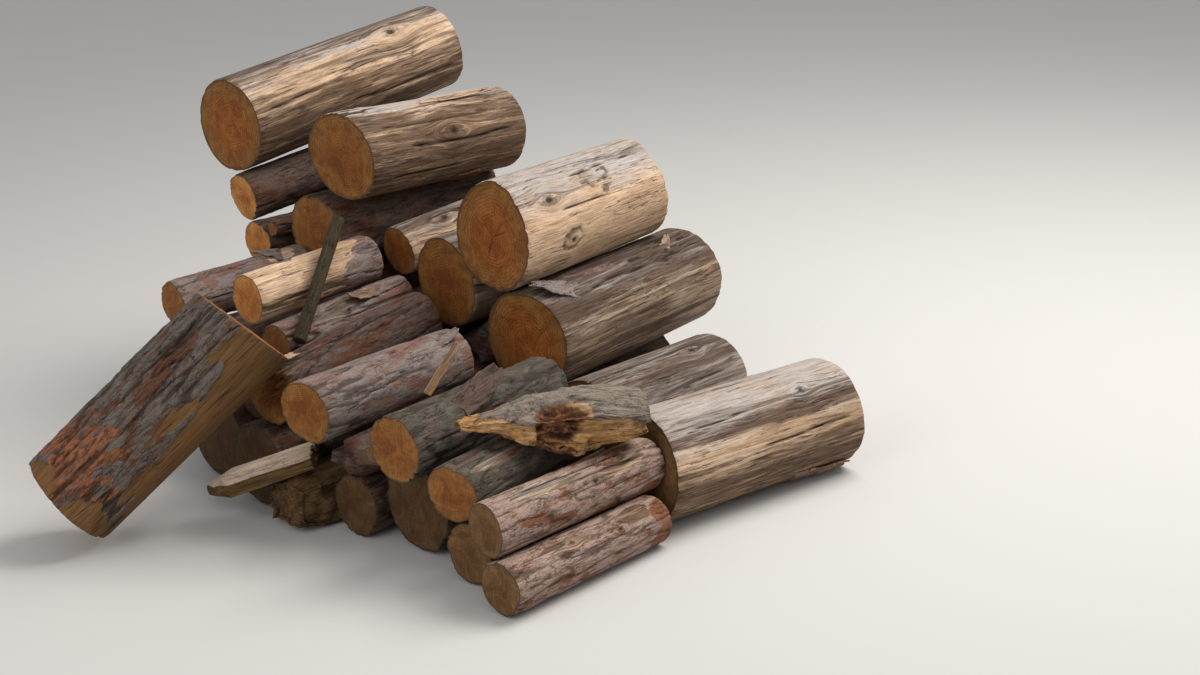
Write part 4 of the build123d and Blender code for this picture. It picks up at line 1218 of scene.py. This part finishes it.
class LogHeapColours(bpy.types.PropertyGroup):
    """The heap's colours, as light reflected by each kind of wood and bark."""

    pale_wood: tint("Pale wood", "Debarked wood where it is cleanest", (0.70, 0.50, 0.34))
    tan_wood: tint("Tan wood", "Debarked wood where it is stained", (0.37, 0.235, 0.135))
    grey_wood: tint("Grey wood", "Wood greyed by the weather", (0.42, 0.385, 0.365))
    aged_wood: tint("Aged wood", "Pale streaks of the greying logs", (0.40, 0.315, 0.235))
    pink_wood: tint("Pink wood", "Pale streaks of the warm thin bark", (0.44, 0.32, 0.26))
    gold_wood: tint("Golden wood", "Bare wood of the leaning log", (0.22, 0.112, 0.04))
    rosy_grey: tint("Rosy grey", "Grey streaks of the thin bark", (0.26, 0.225, 0.21))
    pine_grey: tint("Pine grey", "Outermost grey flakes of thick bark", (0.17, 0.142, 0.125))
    brown_wood: tint("Brown wood", "Dark streaks and cracks in bare wood", (0.10, 0.056, 0.033))
    rosy_bark: tint("Rosy bark", "Thin pinkish bark", (0.215, 0.138, 0.115))
    pine_bark: tint("Pine bark", "Plated grey-brown bark", (0.095, 0.064, 0.046))
    red_bark: tint("Red bark", "Red-orange inner bark", (0.29, 0.105, 0.045))
    rosy_inner: tint("Rosy inner bark", "Inner layer of the thin bark", (0.23, 0.115, 0.085))
    lichen: tint("Lichen", "Grey-green growth on bark", (0.10, 0.093, 0.072))
    bright_heart: tint("Bright heart", "Heart of the freshest sawn ends", (0.60, 0.25, 0.06))
    bright_sap: tint("Bright sapwood", "Outer wood of the freshest sawn ends", (0.66, 0.32, 0.09))
    orange_heart: tint("Orange heart", "Heart of most sawn ends", (0.34, 0.13, 0.03))
    orange_sap: tint("Orange sapwood", "Outer wood of most sawn ends", (0.34, 0.165, 0.045))
    red_heart: tint("Red heart", "Heart of the reddest sawn ends", (0.42, 0.145, 0.028))
    olive_heart: tint("Olive heart", "Heart of the oldest sawn ends", (0.20, 0.11, 0.042))
    olive_sap: tint("Olive sapwood", "Outer wood of the oldest sawn ends", (0.22, 0.135, 0.055))
    end_dirt: tint("End dirt", "Dirt and shadow drawn over sawn ends", (0.50, 0.36, 0.24))
    split_gold: tint("Split gold", "Fresh split face of the broken log", (0.60, 0.34, 0.12))
    rot: tint("Rot", "Brown rot", (0.14, 0.052, 0.022))
    stake: tint("Stake", "Green-grey stick", (0.056, 0.042, 0.02))
    floor: tint("Floor", "Studio floor", (0.53, 0.525, 0.515))


class LogHeapSizes(bpy.types.PropertyGroup):
    """Sizes that a user would change."""

    split_voxel: bpy.props.FloatProperty(
        name="Split wood detail", description="Side of the small cubes that split wood is remeshed from",
        default=0.0032, min=0.001, unit="LENGTH")
    stick_voxel: bpy.props.FloatProperty(
        name="Stick detail", description="Side of the small cubes that thin sticks are remeshed from",
        default=0.0016, min=0.0005, unit="LENGTH")
    floor_wide: bpy.props.FloatProperty(
        name="Floor width", description="Side of the studio floor", default=60.0, min=4.0, unit="LENGTH")
    key_strength: bpy.props.FloatProperty(
        name="Key light", description="Power of the large soft lamp above and behind, in watts",
        default=178.0, min=0.0)
    fill_strength: bpy.props.FloatProperty(
        name="Fill light", description="Power of the soft lamp beside the camera, in watts",
        default=40.0, min=0.0)


KIT = {}


def kit_of(context):
    """The materials, made from the panel's colours at the first call."""
    if "kit" not in KIT:
        KIT["kit"] = Kit(context.scene.log_heap_colours)
    return KIT["kit"]


def dress_group(context, looks, detail):
    for node, look in looks.items():
        dress_log(node, look, kit_of(context), detail)
    return {"FINISHED"}


class LOGHEAP_OT_debarked(bpy.types.Operator):
    """Make the pale debarked logs"""
    bl_idname = "log_heap.debarked"
    bl_label = "Debarked logs"

    def execute(self, context):
        return dress_group(context, DEBARKED, FINE)


class LOGHEAP_OT_greying(bpy.types.Operator):
    """Make the greying logs"""
    bl_idname = "log_heap.greying"
    bl_label = "Greying logs"

    def execute(self, context):
        return dress_group(context, GREYING, MEDIUM)


class LOGHEAP_OT_rosy(bpy.types.Operator):
    """Make the logs with thin rosy bark"""
    bl_idname = "log_heap.rosy"
    bl_label = "Rosy bark logs"

    def execute(self, context):
        return dress_group(context, ROSY, MEDIUM)


class LOGHEAP_OT_lichen(bpy.types.Operator):
    """Make the logs with lichen on their bark"""
    bl_idname = "log_heap.lichen"
    bl_label = "Lichen logs"

    def execute(self, context):
        return dress_group(context, LICHEN, MEDIUM)


class LOGHEAP_OT_pine(bpy.types.Operator):
    """Make the logs with plated pine bark"""
    bl_idname = "log_heap.pine"
    bl_label = "Pine bark logs"

    def execute(self, context):
        return dress_group(context, PINE, MEDIUM)


class LOGHEAP_OT_dim(bpy.types.Operator):
    """Make the dim logs low in the heap and the props under the top log, their colours darkened partly as
    painted shade
    """
    bl_idname = "log_heap.dim"
    bl_label = "Dim logs and props"

    def execute(self, context):
        return dress_group(context, DIM, DIMMER)


class LOGHEAP_OT_hidden(bpy.types.Operator):
    """Make the hidden logs that carry the heap"""
    bl_idname = "log_heap.hidden"
    bl_label = "Hidden logs"

    def execute(self, context):
        return dress_group(context, HIDDEN, COARSE)


class LOGHEAP_OT_flaps(bpy.types.Operator):
    """Make the scraps of bark and wood that hang on the logs"""
    bl_idname = "log_heap.flaps"
    bl_label = "Torn bark and shreds"

    def execute(self, context):
        for name, flap in FLAPS.items():
            torn_flap(name, flap, kit_of(context))
        return {"FINISHED"}


class LOGHEAP_OT_splits(bpy.types.Operator):
    """Make the broken, split and rotten pieces and the sticks"""
    bl_idname = "log_heap.splits"
    bl_label = "Split wood and sticks"

    def execute(self, context):
        sizes = context.scene.log_heap_sizes
        for node, look in SPLITS.items():
            thin = node in ("stake", "thin_splinter")
            dress_split(node, look, kit_of(context), sizes.stick_voxel if thin else sizes.split_voxel)
        return {"FINISHED"}


class LOGHEAP_OT_stage(bpy.types.Operator):
    """Make the floor, the lights and the camera"""
    bl_idname = "log_heap.stage"
    bl_label = "Stage"

    def execute(self, context):
        sizes = context.scene.log_heap_sizes
        make_floor(context, sizes.floor_wide)
        make_lights(context, sizes)
        make_camera(context)
        return {"FINISHED"}


def make_floor(context, wide):
    """A plain pale floor under the heap."""
    half = wide / 2
    mesh = bpy.data.meshes.new("floor")
    corners = [(-half, -half, 0), (half, -half, 0), (half, half, 0), (-half, half, 0)]
    mesh.from_pydata(corners, [], [(0, 1, 2, 3)])
    n = Nodes("pale_floor")
    colour = tuple(context.scene.log_heap_colours.floor)
    n.set(n.shader.inputs["Base Color"], colour)
    n.shader.inputs["Roughness"].default_value = 0.95
    n.shader.inputs["Specular IOR Level"].default_value = 0.1
    mesh.materials.append(n.material)
    floor = bpy.data.objects.new("floor", mesh)
    context.scene.collection.objects.link(floor)


def make_lights(context, sizes):
    """A soft pale sky, a large lamp above and behind on the right, and a weaker one by the camera."""
    world = bpy.data.worlds.new("soft_sky")
    context.scene.world = world
    world.use_nodes = True
    background = world.node_tree.nodes["Background"]
    background.inputs["Color"].default_value = (1.0, 1.0, 1.0, 1.0)
    background.inputs["Strength"].default_value = SKY
    lamps = (("key_lamp", sizes.key_strength, KEY_LAMP), ("fill_lamp", sizes.fill_strength, FILL_LAMP))
    for name, power, (place, wide, colour) in lamps:
        lamp = bpy.data.lights.new(name, "AREA")
        lamp.shape = "SQUARE"
        lamp.size = wide
        lamp.energy = power
        lamp.color = colour
        obj = bpy.data.objects.new(name, lamp)
        obj.location = place
        aim = LAMPS_AIM - Vector(place)
        obj.rotation_euler = aim.to_track_quat("-Z", "Y").to_euler()
        context.scene.collection.objects.link(obj)


def make_camera(context):
    """The camera, at the photograph's angle, tied to the big log on the ground."""
    low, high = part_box("ground_log")
    place = (low + high) / 2 + CAMERA_FROM_GROUND_LOG
    ahead = LOOK_ACROSS.normalized() * math.cos(LOOK_DOWN) - Vector((0, 0, math.sin(LOOK_DOWN)))
    right = ahead.cross(Vector((0, 0, 1))).normalized()
    up = right.cross(ahead)
    across = right * math.cos(CAMERA_ROLL) + up * math.sin(CAMERA_ROLL)
    above = up * math.cos(CAMERA_ROLL) - right * math.sin(CAMERA_ROLL)
    data = bpy.data.cameras.new("camera")
    data.sensor_width = SENSOR_WIDE
    data.sensor_fit = "HORIZONTAL"
    data.lens = FOCAL_PIXELS * SENSOR_WIDE / PHOTO_WIDE
    data.clip_end = 200.0
    camera = bpy.data.objects.new("camera", data)
    turn = Matrix((across, above, -ahead)).transposed().to_4x4()
    camera.matrix_world = Matrix.Translation(place) @ turn
    context.scene.collection.objects.link(camera)
    context.scene.camera = camera
    context.scene.view_settings.view_transform = "Standard"


class LOGHEAP_PT_panel(bpy.types.Panel):
    """The heap's operators, sizes and colours"""
    bl_label = "Log heap"
    bl_idname = "LOGHEAP_PT_panel"
    bl_space_type = "VIEW_3D"
    bl_region_type = "UI"
    bl_category = "Logs"

    def draw(self, context):
        column = self.layout.column()
        for operator in OPERATORS:
            column.operator(operator.bl_idname)
        for group in (context.scene.log_heap_sizes, context.scene.log_heap_colours):
            for name in group.bl_rna.properties.keys():
                if name not in ("rna_type", "name"):
                    column.prop(group, name)


OPERATORS = (
    LOGHEAP_OT_stage,
    LOGHEAP_OT_debarked,
    LOGHEAP_OT_greying,
    LOGHEAP_OT_rosy,
    LOGHEAP_OT_lichen,
    LOGHEAP_OT_pine,
    LOGHEAP_OT_dim,
    LOGHEAP_OT_hidden,
    LOGHEAP_OT_splits,
    LOGHEAP_OT_flaps,
)
CLASSES = (LogHeapColours, LogHeapSizes) + OPERATORS + (LOGHEAP_PT_panel,)


def register():
    for cls in CLASSES:
        bpy.utils.register_class(cls)
    bpy.types.Scene.log_heap_colours = bpy.props.PointerProperty(type=LogHeapColours)
    bpy.types.Scene.log_heap_sizes = bpy.props.PointerProperty(type=LogHeapSizes)


def unregister():
    del bpy.types.Scene.log_heap_sizes
    del bpy.types.Scene.log_heap_colours
    for cls in reversed(CLASSES):
        bpy.utils.unregister_class(cls)


def main():
    """Makes the whole scene."""
    register()
    for operator in OPERATORS:
        group, name = operator.bl_idname.split(".")
        getattr(getattr(bpy.ops, group), name)()


if __name__ == "__main__":
    main()
